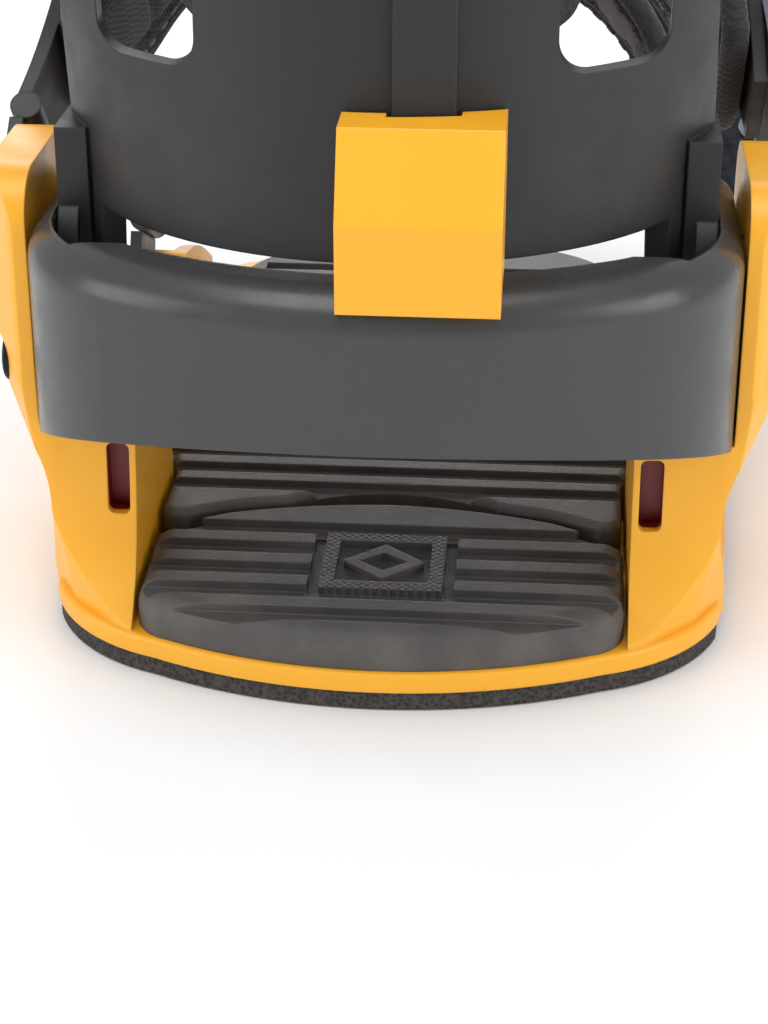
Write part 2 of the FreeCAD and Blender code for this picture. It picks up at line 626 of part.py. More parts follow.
def toe_ramp_pad():
    low = FLOOR_TOP + SLIDE + CARRIER_T
    wires = [ramp_wire(low), ramp_wire(RAMP_TOP - RAMP_BEVEL), ramp_wire(RAMP_TOP, RAMP_BEVEL)]
    body = Part.makeLoft(wires, True, True)
    grooves = []
    half = RAMP_HALF - 9.0
    y = RAMP_REAR + 7.0
    while y < RAMP_REAR + RAMP_LENGTH - 16:
        grooves.append(box(-half, half, y - RIB_GROOVE / 2, y + RIB_GROOVE / 2, RAMP_TOP - RIB_DEEP, 40))
        y += RIB_PITCH
    return body.cut(grooves)


def toe_ramp_screws():
    """From under the floor, through its slots, into the carrier."""
    solids = []
    for x in (-RAMP_SCREW_X, RAMP_SCREW_X):
        top = FOAM_T - GAP
        head = post(x, RAMP_SCREW_Y, top - RAMP_HEAD_T, top, RAMP_HEAD_R)
        screw = joined(head, post(x, RAMP_SCREW_Y, top, FLOOR_TOP + SLIDE + CARRIER_T, RAMP_SCREW_R))
        solids.append(screw.cut(socket_cut(V(x, RAMP_SCREW_Y, top - RAMP_HEAD_T), Z_AXIS, 1.6, 1.0)))
    return Part.makeCompound(solids)


# ============================== heelcup ================================================
def cup_wire(z, inset):
    """A U in plan: straight sides, two corners and a long rear arc."""
    half, corner_r, rear_r = CUP_HALF_W - inset, CUP_CORNER_R - inset, CUP_REAR_R - inset
    cx, cy = CUP_CORNER
    toward = math.atan2(cy - CUP_REAR_CENTRE_Y, cx)
    meet = V(rear_r * math.cos(toward), CUP_REAR_CENTRE_Y + rear_r * math.sin(toward), z)
    start = V(cx + corner_r, cy, z)
    meet_c = V(cx + corner_r * math.cos(toward), cy + corner_r * math.sin(toward), z)
    mid = V(cx + corner_r * math.cos(toward / 2), cy + corner_r * math.sin(toward / 2), z)
    rear = V(0, meet_c.y - (rear_r - math.sqrt(max(0.0, rear_r ** 2 - meet_c.x ** 2))), z)
    edges = [
        line(V(0, 0, z), V(half, 0, z)),
        line(V(half, 0, z), start),
        arc(start, mid, meet_c),
        arc(meet_c, V(meet_c.x / 2, rear.y + (meet_c.y - rear.y) * 0.26, z), rear),
    ]
    return mirror_wire(edges)


def cup_body(grow, top):
    """The heelcup as if it were solid, with its rounded upper edge."""
    body = prism(cup_wire(CUP_Z - grow, -grow), V(0, 0, top - CUP_Z + grow))
    rim = [e for e in body.Edges if e.BoundBox.ZMin > top - 0.01 and e.BoundBox.YMax < -1]
    return body.makeFillet(CUP_EDGE_R + grow, rim)


def heelcup():
    body = cup_body(0.0, CUP_TOP)
    body = body.cut(prism(cup_wire(0, CUP_WEB), V(0, 0, CUP_TOP - CUP_WEB)))
    body = body.cut(prism(cup_wire(0, CUP_FLANGE), V(0, 0, 200)))
    side_space = prism(cup_wire(0, CUP_WEB), V(0, 0, 200))
    body = body.cut(side_space.common(box(-90, 90, CUP_CORNER[1] - 18.0, 90, 0, 200)))
    low, high = CUP_Z - 10, CUP_Z + CUP_REAR_RISE
    slope = CUP_REAR_RISE / (CUP_RISE_Y - CUP_REAR_CENTRE_Y + CUP_REAR_R)
    body = body.cut(side_prism([(CUP_RISE_Y - 90, CUP_Z + slope * 90), (CUP_RISE_Y, CUP_Z), (CUP_RISE_Y, low),
                                (CUP_RISE_Y - 90, low)], 90))
    nose = side_prism([(-200, low), (-200, high + 60), (CUP_FRONT_Y, high + 60), (CUP_FRONT_Y, low)], 90, 9.0)
    nose = nose.common(side_prism([(-200, CUP_Z - 1), (-200, CUP_TOP + 1), (CUP_FRONT_Y - 6, CUP_TOP + 1),
                                   (CUP_FRONT_Y, CUP_TOP - 10), (CUP_FRONT_Y, CUP_Z + 6),
                                   (CUP_FRONT_Y - 5, CUP_Z - 1)], 90))
    body = body.common(nose)
    cuts = [rod(40, 90, y, z, NUT_SLEEVE_R + RUN) for y, z in CUP_BOLTS]
    cuts.append(rod(40, 90, HB_PIVOT[0], HB_PIVOT[1], BOLT_R + RUN))
    cuts.append(rod(40, 90, ANKLE["y"], ANKLE["z"], NUT_SLEEVE_R + RUN))
    return body.cut(cuts + [mirrored(c) for c in cuts]).removeSplitter()


def heelcup_bolts():
    bolts = [side_bolt(y, z, CUP_HALF_W - CUP_WEB - 0.5, arm_x(z)) for y, z in CUP_BOLTS]
    return both_sides(Part.makeCompound(bolts))


def sleeve_nut(y, z, face, sleeve):
    """A flanged nut on an inner face, with a sleeve that goes into the wall."""
    body = joined(rod(face - NUT_T, face, y, z, NUT_R), rod(face, face + sleeve, y, z, NUT_SLEEVE_R))
    return body.cut(rod(face - 5, face + sleeve + 5, y, z, BOLT_R))


def heelcup_nuts():
    nuts = [sleeve_nut(y, z, CUP_HALF_W - CUP_WEB, CUP_WEB - GAP) for y, z in CUP_BOLTS]
    return both_sides(Part.makeCompound(nuts))


# ============================== highback ===============================================
def hb_rear(z):
    """The highback's rear surface at a height."""
    return HB_REAR_LOW + HB_LEAN * (z - 84.0)


def hb_solid(inset, thick):
    wires = []
    for z, half, end_y in HB_SECTIONS:
        rear = hb_rear(z) + inset
        a, b = half - inset, half - inset - thick
        wires.append(Part.Wire([
            arc(V(-a, end_y, z), V(0, rear, z), V(a, end_y, z)),
            line(V(a, end_y, z), V(b, end_y, z)),
            arc(V(b, end_y, z), V(0, rear + thick, z), V(-b, end_y, z)),
            line(V(-b, end_y, z), V(-a, end_y, z)),
        ]))
    return Part.makeLoft(wires, True, False)


def front_prism(right, y0, y1):
    """A solid along Y whose outline is a smooth curve from the front, (x, z), on both sides."""
    top = right[-1]
    edges = [curve([V(x, y0, z) for x, z in right]), line(V(top[0], y0, top[1]), V(0, y0, top[1]))]
    edges.append(line(V(0, y0, right[0][1]), V(right[0][0], y0, right[0][1])))
    return prism(mirror_wire(edges), V(0, y1 - y0, 0))


def highback_shell():
    body = hb_solid(0.0, HB_T)
    body = body.common(front_prism(HB_OUTLINE, -200, 50))
    body = body.cut(box(-90, 90, -200, HB_PIVOT[0] - HB_EAR_R, 0, CUP_TOP + HB_OVER_CUP))
    body = body.cut(box(-90, 90, HB_PIVOT[0] - HB_EAR_R - 1, 50, 0, CUP_TOP - 8.0))
    ear = rod(HB_EAR_X - HB_T, HB_EAR_X, HB_PIVOT[0], HB_PIVOT[1], HB_EAR_R)
    web = box(HB_EAR_X - HB_T - 2.0, HB_EAR_X, HB_PIVOT[0] - 9.0, HB_PIVOT[0] + 9.0, HB_PIVOT[1], 96.0)
    body = body.fuse([ear, web, mirrored(ear), mirrored(web)])
    for sx in (-1, 1):
        for z in HB_WINDOW_Z:
            x = sx * HB_WINDOW_X
            window = box(x - HB_WINDOW_HALF, x + HB_WINDOW_HALF, -200, 50, z, z + HB_WINDOW_H)
            window = window.makeFillet(HB_WINDOW_R, [e for e in window.Edges if e.BoundBox.YLength > 100])
            body = body.cut(window)
    hole = rod(0, 90, HB_PIVOT[0], HB_PIVOT[1], BOLT_R + RUN)
    seat = rod(0, HB_EAR_X - HB_T, HB_PIVOT[0], HB_PIVOT[1], HB_SEAT_R)
    outside = rod(HB_EAR_X, 90, HB_PIVOT[0], HB_PIVOT[1], HB_EAR_R + 1)
    return body.cut([hole, mirrored(hole), seat, mirrored(seat), outside, mirrored(outside)]).removeSplitter()


def highback_rack():
    """The toothed strip on the highback's rear that the lean adjuster engages."""
    half = RACK_W / 2
    strip = box(LEAN_X - half, LEAN_X + half, -125, -90, CUP_TOP + 3, RACK_HIGH)
    outer = hb_solid(-RACK_T, RACK_T)
    return strip.common(outer)


def lean_block():
    half = LEAN_W / 2
    profile = [(LEAN_REAR, LEAN_LOW), (LEAN_REAR, LEAN_HIGH - 14), (LEAN_REAR + 6, LEAN_HIGH),
               (-100.0, LEAN_HIGH), (-100.0, LEAN_LOW)]
    body = side_prism(profile, 60).common(box(LEAN_X - half, LEAN_X + half, -140, -90, 0, 200))
    body = body.cut(cup_body(GAP, CUP_TOP + GAP))
    body = body.cut(hb_solid(-LEAN_GAP, 60.0))
    groove = hb_solid(-RACK_T - LEAN_GAP, 60.0)
    rack_half = RACK_W / 2 + LEAN_GAP
    groove = groove.common(box(LEAN_X - rack_half, LEAN_X + rack_half, -140, -80, 0, 200))
    return body.cut(groove)


def highback_liner():
    body = hb_solid(HB_T + GLUE, LINER_T)
    return body.common(front_prism(LINER_OUTLINE, -200, 50))


def highback_pivot_bolts():
    bolt = side_bolt(HB_PIVOT[0], HB_PIVOT[1], HB_EAR_X - HB_T - WASHER_T - 4.6, arm_x(HB_PIVOT[1]))
    return both_sides(bolt)


def highback_pivot_washers():
    face = HB_EAR_X - HB_T
    ring = rod(face - WASHER_T, face, HB_PIVOT[0], HB_PIVOT[1], WASHER_R)
    return both_sides(ring.cut(rod(0, 90, HB_PIVOT[0], HB_PIVOT[1], BOLT_R + RUN)))


def highback_pivot_nuts():
    face = HB_EAR_X - HB_T - WASHER_T
    nut = socket_cut(V(face, HB_PIVOT[0], HB_PIVOT[1]), V(-1, 0, 0), 4.6, 4.0)
    return both_sides(nut.cut(rod(0, 90, HB_PIVOT[0], HB_PIVOT[1], BOLT_R)))


# ============================== straps =================================================
# A strap is drawn in its own plane: X across the boot, Y up the strap's plane, Z along its width.
def placed(strap, shape):
    """From the strap's own plane to its place on the binding."""
    out = shape.copy()
    out.rotate(V(0, 0, 0), X_AXIS, 90.0 - strap["lean"])
    out.translate(V(0, strap["y"], strap["z"]))
    return out


def at(strap, radius, degrees, w=0.0):
    """A point at an angle and a radius from the strap's hinge."""
    turn = math.radians(degrees)
    return V(-strap["half"] + radius * math.cos(turn), strap["hinge"] + radius * math.sin(turn), w)


def ladder_radius(strap):
    """Underside of the toothed strap, which turns round the hinge of the padded one."""
    return 2 * strap["half"]


def shell_radius(strap):
    """Inner face of the strap shell on the buckle's side."""
    return ladder_radius(strap) - GAP - BUCKLE_FLOOR - STRAP_T


def sector(strap, r0, r1, a0, a1, half_w):
    """A curved plate about the hinge."""
    middle = (a0 + a1) / 2
    w = -half_w
    wire = Part.Wire([
        arc(at(strap, r1, a0, w), at(strap, r1, middle, w), at(strap, r1, a1, w)),
        line(at(strap, r1, a1, w), at(strap, r0, a1, w)),
        arc(at(strap, r0, a1, w), at(strap, r0, middle, w), at(strap, r0, a0, w)),
        line(at(strap, r0, a0, w), at(strap, r1, a0, w)),
    ])
    return prism(wire, V(0, 0, 2 * half_w))


def pin_rod(strap, height, degrees, r, w0, w1):
    """A cylinder along the strap's width."""
    return Part.makeCylinder(r, w1 - w0, at(strap, ladder_radius(strap) + height, degrees, w0), Z_AXIS)


def arch(strap, low, high, end_deg):
    """A band over the boot between two offsets from the shell's inner face."""
    hinge = V(-strap["half"], strap["hinge"], 0)
    side_r, top_r, join = shell_radius(strap), strap["top"], strap["join"]
    centre = at(strap, side_r - top_r, join)
    to_centre = centre - hinge
    reach = to_centre.Length
    lean = math.atan2(to_centre.y, to_centre.x) + math.asin(top_r / reach)
    along = V(math.cos(lean), math.sin(lean), 0)
    outward = V(-along.y, along.x, 0)
    tangent = hinge + along * math.sqrt(reach ** 2 - top_r ** 2)
    from_deg = math.degrees(math.atan2(outward.y, outward.x))
    over = math.radians((from_deg + join) / 2)
    up = V(math.cos(over), math.sin(over), 0)
    edges = []
    for offset in (low, high):
        joint = at(strap, side_r + offset, join)
        mid = at(strap, side_r + offset, (join + end_deg) / 2)
        end = at(strap, side_r + offset, end_deg)
        start = hinge + outward * offset
        edges.append((start, end, [
            line(start, tangent + outward * offset),
            arc(tangent + outward * offset, centre + up * (top_r + offset), joint),
            arc(joint, mid, end),
        ]))
    (start0, end0, inner), (start1, end1, outer) = edges
    wire = Part.Wire(Part.__sortEdges__(inner + outer + [line(start0, start1), line(end0, end1)]))
    face = Part.Face(wire)
    face.translate(V(0, 0, -60))
    return face.extrude(V(0, 0, 120))


def leaf(strap, grow):
    """The strap's outline seen from the side: narrow at the ends and wide over the boot."""
    right = [V(-120, y, half + grow) for y, half in strap["leaf"]]
    left = [V(-120, y, -half - grow) for y, half in strap["leaf"]]
    edges = [curve(right), line(right[-1], left[-1]), curve(left), line(left[0], right[0])]
    return prism(Part.Wire(Part.__sortEdges__(edges)), V(240, 0, 0))


def rivet_places(strap):
    return [(strap["buckle"] + 8.0, w) for w in (-6.5, 6.5)]


def radial_rod(strap, degrees, w, r0, r1, r):
    start = at(strap, r0, degrees, w)
    axis = (at(strap, r1, degrees, w) - start)
    return Part.makeCylinder(r, axis.Length, start, axis)


def rivet_cuts(strap):
    top = ladder_radius(strap) - GAP
    cuts = []
    for degrees, w in rivet_places(strap):
        cuts.append(radial_rod(strap, degrees, w, shell_radius(strap) - 1, top + 1, RIVET_R + RUN / 2))
        cuts.append(radial_rod(strap, degrees, w, top - RIVET_HEAD_T - RUN / 2, top + 1, RIVET_HEAD_R + RUN / 2))
    return cuts


def strap_shell(strap):
    """The strap's moulded outer shell, with a round eye at the hinge and cooling slots."""
    body = arch(strap, 0.0, STRAP_T, strap["buckle"] - 0.6)
    body = body.common(leaf(strap, -3.0))
    eye_half = strap["leaf"][0][1] - 3.0
    eye = Part.makeCylinder(EYE_R, 2 * eye_half, V(-strap["half"], strap["hinge"], -eye_half), Z_AXIS)
    body = joined(body, eye)
    high = strap["leaf"][3][0]
    for w in (-14.0, 0.0, 14.0):
        if abs(w) + 6.0 < strap["leaf"][3][1]:
            slot = box(-26, 20, high - 14, high + 60, w - 2.6, w + 2.6)
            body = body.cut(slot.makeFillet(2.4, [e for e in slot.Edges if e.BoundBox.YLength > 60]))
    return placed(strap, body.cut(rivet_cuts(strap)))


def strap_padding(strap):
    end = math.degrees(math.asin((strap["pad_low"] - strap["hinge"]) / shell_radius(strap)))
    body = arch(strap, -PAD_T - GLUE, -GLUE, end)
    low = box(-150, 150, -50, strap["pad_low"], -70, 70)
    return placed(strap, body.common(leaf(strap, 0.0)).cut(low))


def strap_connector(strap):
    """From the pivot on the arm to the hinge, on the left."""
    half = strap["half"]
    plate = box(-half - LINK_T, -half, 0, strap["hinge"] - EYE_R - RUN, -LINK_HALF, LINK_HALF)
    body = joined(plate, rod(-half - LINK_T, -half, 0, 0, LINK_HALF))
    return placed(strap, body.cut(rod(-half - LINK_T - 5, -half + 5, 0, 0, BOLT_R + RUN)))


def bar(corners, width):
    """A straight bar across the strap, from its outline."""
    body = prism(polygon(corners), V(0, 0, width))
    body.translate(V(0, 0, -width / 2))
    return body


def strap_ladder(strap):
    """The toothed strap: pivoted on the right, curved about the hinge on the left."""
    r = ladder_radius(strap)
    half = strap["half"]
    tip = strap["ladder_end"]
    body = sector(strap, r, r + LADDER_T, 0.0, tip, LADDER_W / 2)
    ends = [e for e in body.Edges if (e.CenterOfMass - at(strap, r + LADDER_T / 2, tip)).Length < LADDER_W / 2 + 1
            and abs(e.Length - LADDER_T) < 0.01]
    body = body.makeFillet(LADDER_W * 0.4, ends)
    link = box(half, half + LADDER_T, 0, strap["hinge"], -LADDER_W / 2, LADDER_W / 2)
    body = joined(body, link, rod(half, half + LADDER_T, 0, 0, LADDER_W / 2))
    teeth = []
    degrees = strap["buckle"] + 1.0
    while degrees < tip - 4.0:
        low, high = r + LADDER_T - 0.3, r + LADDER_T + TOOTH_H
        corners = [at(strap, low, degrees), at(strap, high, degrees + 0.1),
                   at(strap, high, degrees + 0.35), at(strap, low, degrees + TOOTH_PITCH_DEG)]
        teeth.append(bar(corners, TOOTH_W))
        degrees += TOOTH_PITCH_DEG
    body = joined(body, *teeth)
    return placed(strap, body.cut(rod(half - 5, half + 10, 0, 0, BOLT_R + RUN)))


def buckle_base(strap):
    """A floor and two side walls that hold the pins; the ladder runs between them."""
    r = ladder_radius(strap)
    start = strap["buckle"]
    end = start + BUCKLE_DEG
    outer = sector(strap, r - GAP - BUCKLE_FLOOR, r + BUCKLE_H, start, end, BUCKLE_W / 2)
    cap = [at(strap, r - 10, start - 1), at(strap, r + 3.0, start - 1), at(strap, r + BUCKLE_H + 0.4, start + 2.4),
           at(strap, r + BUCKLE_H + 0.6, start + 7.0), at(strap, r + BUCKLE_H - 1.6, end - 2.6),
           at(strap, r + 3.0, end + 1), at(strap, r - 10, end + 1)]
    body = outer.common(bar(cap, BUCKLE_W + 10))
    body = body.cut(sector(strap, r - GAP, r + 40, start - 5, end + 5, BUCKLE_W / 2 - BUCKLE_WALL))
    holes = rivet_cuts(strap)
    for height, degrees in buckle_pins(strap):
        holes.append(pin_rod(strap, height, degrees, PIN_R + RUN / 2, -30, 30))
    return placed(strap, body.cut(holes))


def buckle_pins(strap):
    start = strap["buckle"]
    return ((LEVER_PIN_H, start + LEVER_PIN_DEG), (CATCH_PIN_H, start + CATCH_PIN_DEG))


def pin_with_heads(strap, place):
    """A shouldered pin: shank through both walls, with a low head outside each."""
    height, degrees = place
    half = BUCKLE_W / 2
    shank = pin_rod(strap, height, degrees, PIN_R, -half, half)
    heads = [pin_rod(strap, height, degrees, PIN_R + 1.1, half, half + 0.9),
             pin_rod(strap, height, degrees, PIN_R + 1.1, -half - 0.9, -half)]
    return placed(strap, joined(shank, *heads))


def coil_spring(strap, place, coil_r):
    """A closely wound torsion spring on a pin."""
    height, degrees = place
    rings = []
    for i in range(COILS):
        w = (i - (COILS - 1) / 2) * WIRE_PITCH
        middle = at(strap, ladder_radius(strap) + height, degrees, w)
        rings.append(Part.makeTorus(coil_r, WIRE_R, middle, Z_AXIS))
    return placed(strap, joined(*rings))


def hub(strap, place, r, half_w):
    """A hub with a bore for its pin and a gap for its spring."""
    height, degrees = place
    return pin_rod(strap, height, degrees, r, -half_w, half_w)


def hub_cuts(strap, place, r):
    height, degrees = place
    return [pin_rod(strap, height, degrees, PIN_R + RUN, -30, 30),
            pin_rod(strap, height, degrees, r, -SPRING_SPACE, SPRING_SPACE)]


def buckle_lever(strap):
    """The ratchet lever: it lies over the buckle and lifts from its upper end."""
    place = buckle_pins(strap)[0]
    height, pin = place
    r = ladder_radius(strap)
    half = BUCKLE_W / 2 - BUCKLE_WALL - GAP
    wide = BUCKLE_W / 2 + LEVER_OVERHANG
    low, high = LEVER_ARM
    start, end = LEVER_ARM_DEG
    neck = sector(strap, r + LEVER_NECK[0], r + high, pin, pin + LEVER_NECK[1], half)
    arm = sector(strap, r + low, r + high, pin + start, pin + end, wide)
    lip = sector(strap, r + low, r + LEVER_LIP_TOP, pin + LEVER_LIP_DEG, pin + end, wide)
    tip = r + LADDER_T + TOOTH_H + RUN
    tooth = bar([at(strap, tip, pin + 0.1), at(strap, tip, pin + 0.7),
                 at(strap, r + height, pin + 1.7), at(strap, r + height, pin - 1.2)], PAWL_W)
    body = joined(hub(strap, place, LEVER_HUB_R, half), neck, arm, lip, tooth)
    near, far = LEVER_WINDOW_DEG
    window = sector(strap, r + 10, r + 30, pin + near, pin + far, LEVER_WINDOW_HALF)
    window = window.makeFillet(LEVER_WINDOW_R, [e for e in window.Edges if abs(e.Length - 20) < 0.01])
    return placed(strap, body.cut(hub_cuts(strap, place, SPRING_ROOM_R) + [window]))


def release_catch(strap):
    """The holding pawl, with a tab at its upper end that lifts it off the teeth."""
    place = buckle_pins(strap)[1]
    height, pin = place
    r = ladder_radius(strap)
    half = BUCKLE_W / 2 - BUCKLE_WALL - GAP - 1.5
    middle = r + height
    low, high = CATCH_PLATE
    tip = r + LADDER_T + TOOTH_H + RUN
    tooth = bar([at(strap, tip, pin + 2.3), at(strap, tip, pin + 2.7),
                 at(strap, middle + 1.6, pin + 3.2), at(strap, middle + 2.4, pin),
                 at(strap, middle - 1.6, pin)], PAWL_W)
    plate = sector(strap, middle + low, middle + high, pin, pin + CATCH_END_DEG, half)
    tab = sector(strap, middle + low, middle + CATCH_TAB_TOP, pin + CATCH_TAB_DEG, pin + CATCH_END_DEG, half)
    body = joined(hub(strap, place, CATCH_HUB_R, half), plate, tab, tooth)
    return placed(strap, body.cut(hub_cuts(strap, place, SPRING_ROOM_R)))


def buckle_rivets(strap):
    top = ladder_radius(strap) - GAP
    solids = []
    for degrees, w in rivet_places(strap):
        shank = radial_rod(strap, degrees, w, shell_radius(strap), top, RIVET_R)
        head = radial_rod(strap, degrees, w, top - RIVET_HEAD_T, top, RIVET_HEAD_R)
        solids.append(joined(shank, head))
    return placed(strap, Part.makeCompound(solids))


def strap_pivot_bolts(strap):
    """On both sides, from the strap's outer face into the nut on the inner face."""
    seat = strap["half"] + LINK_T + RUN
    inner = nut_face(strap) - NUT_T
    return both_sides(side_bolt(strap["y"], strap["z"], inner, seat))


def nut_face(strap):
    return CUP_HALF_W - CUP_WEB if strap is ANKLE else BAY_TOE + NUT_T


def strap_pivot_nuts(strap):
    face = nut_face(strap)
    if strap is ANKLE:
        return both_sides(sleeve_nut(strap["y"], strap["z"], face, CUP_WEB - GAP))
    nut = rod(face - NUT_T, face, strap["y"], strap["z"], NUT_R)
    return both_sides(nut.cut(rod(face - 9, face + 9, strap["y"], strap["z"], BOLT_R)))


def save_strap(strap):
    name = strap["name"] + "_"
    lever_pin, catch_pin = buckle_pins(strap)
    save(name + "strap_connector", strap_connector(strap))
    save(name + "strap_shell", strap_shell(strap))
    save(name + "strap_padding", strap_padding(strap))
    save(name + "strap_ladder", strap_ladder(strap))
    save(name + "strap_pivot_bolts", strap_pivot_bolts(strap))
    save(name + "strap_pivot_nuts", strap_pivot_nuts(strap))
    save(name + "buckle_base", buckle_base(strap))
    save(name + "buckle_rivets", buckle_rivets(strap))
    save(name + "buckle_lever", buckle_lever(strap))
    save(name + "buckle_lever_pin", pin_with_heads(strap, lever_pin))
    save(name + "buckle_lever_spring", coil_spring(strap, lever_pin, SPRING_R))
    save(name + "release_catch", release_catch(strap))
    save(name + "release_catch_pin", pin_with_heads(strap, catch_pin))
    save(name + "release_catch_spring", coil_spring(strap, catch_pin, SPRING_R))


def main():
    os.makedirs(PARTS, exist_ok=True)
    save("foam_base_pad", foam_base_pad())
    save("baseplate", baseplate())
    save("mounting_disc", mounting_disc())
    save("heel_pad", heel_pad())
    save("main_footbed_pad", main_pad())
    save("toe_ramp_carrier", toe_ramp_carrier())
    save("toe_ramp_pad", toe_ramp_pad())
    save("toe_ramp_screws", toe_ramp_screws())
    save("heelcup", heelcup())
    save("heelcup_bolts", heelcup_bolts())
    save("heelcup_nuts", heelcup_nuts())
    save("highback_shell", highback_shell())
    save("highback_rack", highback_rack())
    save("highback_liner", highback_liner())
    save("highback_pivot_bolts", highback_pivot_bolts())
    save("highback_pivot_washers", highback_pivot_washers())
    save("highback_pivot_nuts", highback_pivot_nuts())
    save("lean_adjuster", lean_block())
    for strap in (ANKLE, TOE):
        save_strap(strap)


main()
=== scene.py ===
"""A strap binding for a snowboard: finishes, sewn pads, floor, light and camera."""

import json
import logging
import math
from collections.abc import Callable
from dataclasses import dataclass
from enum import Enum

import bpy
from mathutils import Matrix, Vector


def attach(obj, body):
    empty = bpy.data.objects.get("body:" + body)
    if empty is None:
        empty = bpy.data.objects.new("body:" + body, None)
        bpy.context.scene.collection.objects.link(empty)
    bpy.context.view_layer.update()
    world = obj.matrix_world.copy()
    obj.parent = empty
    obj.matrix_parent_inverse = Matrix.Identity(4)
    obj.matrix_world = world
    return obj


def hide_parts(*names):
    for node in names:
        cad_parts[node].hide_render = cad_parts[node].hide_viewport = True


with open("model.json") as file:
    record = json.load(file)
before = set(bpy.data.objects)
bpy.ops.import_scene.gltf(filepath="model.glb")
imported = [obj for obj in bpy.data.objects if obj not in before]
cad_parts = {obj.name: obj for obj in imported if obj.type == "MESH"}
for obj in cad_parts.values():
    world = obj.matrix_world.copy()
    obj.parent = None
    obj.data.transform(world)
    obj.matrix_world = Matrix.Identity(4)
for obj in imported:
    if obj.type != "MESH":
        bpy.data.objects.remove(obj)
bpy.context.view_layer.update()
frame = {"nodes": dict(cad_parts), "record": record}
LOG = logging.getLogger("binding")
MM = 0.001
LIT_POINT = (0.0, -0.05, 0.04)  # what every lamp faces, in metres
WORN_EDGE_SAMPLES = 4           # rays per hit that look for an edge
FLAT_COSINE = 0.99              # a normal that turns less than this is on no edge
WELD_MM = 0.02                  # corners nearer than this are one
SMOOTH_UP_TO = 50.0             # degrees between facets that still shade as one surface
CLOTH_QUALITY = 5
CLOTH_PRESSURE = 4.0
CLOTH_FRAMES = 20               # by then a pad is as full as it gets
THREAD_R_MM = 0.38
STRAIGHT_STEPS = 24             # points along a strap's straight part
SIDE_STEPS = 30                 # points down its buckle side
PAST_HINGE = 8.0                # degrees that the buckle side runs on below the hinge
SEAM_POINTS = 120               # points over the top arc from which a seam picks its stitches
TINY = 1e-9
EQUATOR = 1e-6                  # nearer to a ball's middle than this counts as its equator
Feed = bpy.types.Node | bpy.types.NodeSocket | float | tuple
# A box that is the same on both sides, in which shade is painted: distance from nought and half size
# along each axis.
ShadeBox = tuple[tuple[float, float], tuple[float, float], tuple[float, float]]


# ------------------------------------------------------------------ finishes ------------
def linear(code: str) -> tuple[float, float, float, float]:
    """Turns an sRGB hex value to linear light.

    Args:
        code: six hexadecimal digits after a #.

    Returns:
        Red, green, blue and alpha, as a shader socket takes them.
    """
    parts = [int(code[i:i + 2], 16) / 255 for i in (1, 3, 5)]
    red, green, blue = [p / 12.92 if p <= 0.04045 else ((p + 0.055) / 1.055) ** 2.4 for p in parts]
    return red, green, blue, 1.0


def cells(size_mm: float) -> float:
    """Gives the texture scale at which one cell of a pattern has that size."""
    return 1.0 / (size_mm * MM)


def waves(size_mm: float) -> float:
    """Gives the scale of Blender's bands at which one wave has that length."""
    return math.pi / 10 / (size_mm * MM)


@dataclass(frozen=True)
class Finish:
    """One real material with its surface. A subclass draws it."""

    name: str

    @property
    def title(self) -> str:
        """The material's own name, apart from the record's slot."""
        return self.name + "_finish"

    def add(self, kind: str, feeds: dict[str | int, Feed] | None = None,
            **settings: object) -> bpy.types.Node:
        """Adds a node to this finish's material, with its settings and links.

        Args:
            kind: the node's type, without Blender's ShaderNode before it.
            feeds: what goes into each input: a node, for its first output, a socket, or a value.
            settings: the node's own settings.

        Returns:
            The new node.
        """
        tree = bpy.data.materials[self.title].node_tree
        node = tree.nodes.new("ShaderNode" + kind)
        for setting, value in settings.items():
            setattr(node, setting, value)
        for key, value in (feeds or {}).items():
            if isinstance(value, bpy.types.Node):
                value = next(output for output in value.outputs if output.enabled)
            if isinstance(value, bpy.types.NodeSocket):
                tree.links.new(value, node.inputs[key])
            else:
                node.inputs[key].default_value = value
        return node

    def edges(self, radius_mm: float, sharp: float,
              most: float) -> tuple[bpy.types.Node, bpy.types.Node]:
        """Rounds the edges in the shading and finds where they rub; the rubber also lightens them there
        with a painted sheen.

        Args:
            radius_mm: the edges' radius.
            sharp: cosine of the turn at which an edge is fully rubbed.
            most: the share there.

        Returns:
            The rounded normal and the rubbed share.
        """
        soft = self.add("Bevel", {"Radius": radius_mm * MM}, samples=WORN_EDGE_SAMPLES)
        flat = self.add("NewGeometry").outputs["Normal"]
        turn = self.add("VectorMath", {0: soft, 1: flat}, operation="DOT_PRODUCT")
        rubbed = self.add("MapRange", {"Value": turn.outputs["Value"], "From Min": sharp,
                                       "From Max": FLAT_COSINE, "To Min": most, "To Max": 0.0})
        return soft, rubbed

    def draw(self) -> dict[str | int, Feed]:
        """Draws the nodes and says what feeds the surface."""
        raise NotImplementedError

    def material(self) -> bpy.types.Material:
        """Makes the material at its first use.

        Returns:
            The material.
        """
        if self.title not in bpy.data.materials:
            made = bpy.data.materials.new(self.title)
            made.use_nodes = True
            made.node_tree.nodes.clear()
            surface = self.add("BsdfPrincipled", self.draw())
            self.add("OutputMaterial", {"Surface": surface})
        return bpy.data.materials[self.title]

    def dress(self, thing: bpy.types.Object) -> None:
        """Puts the finish on a piece in place of whatever it had."""
        thing.data.materials.clear()
        thing.data.materials.append(self.material())


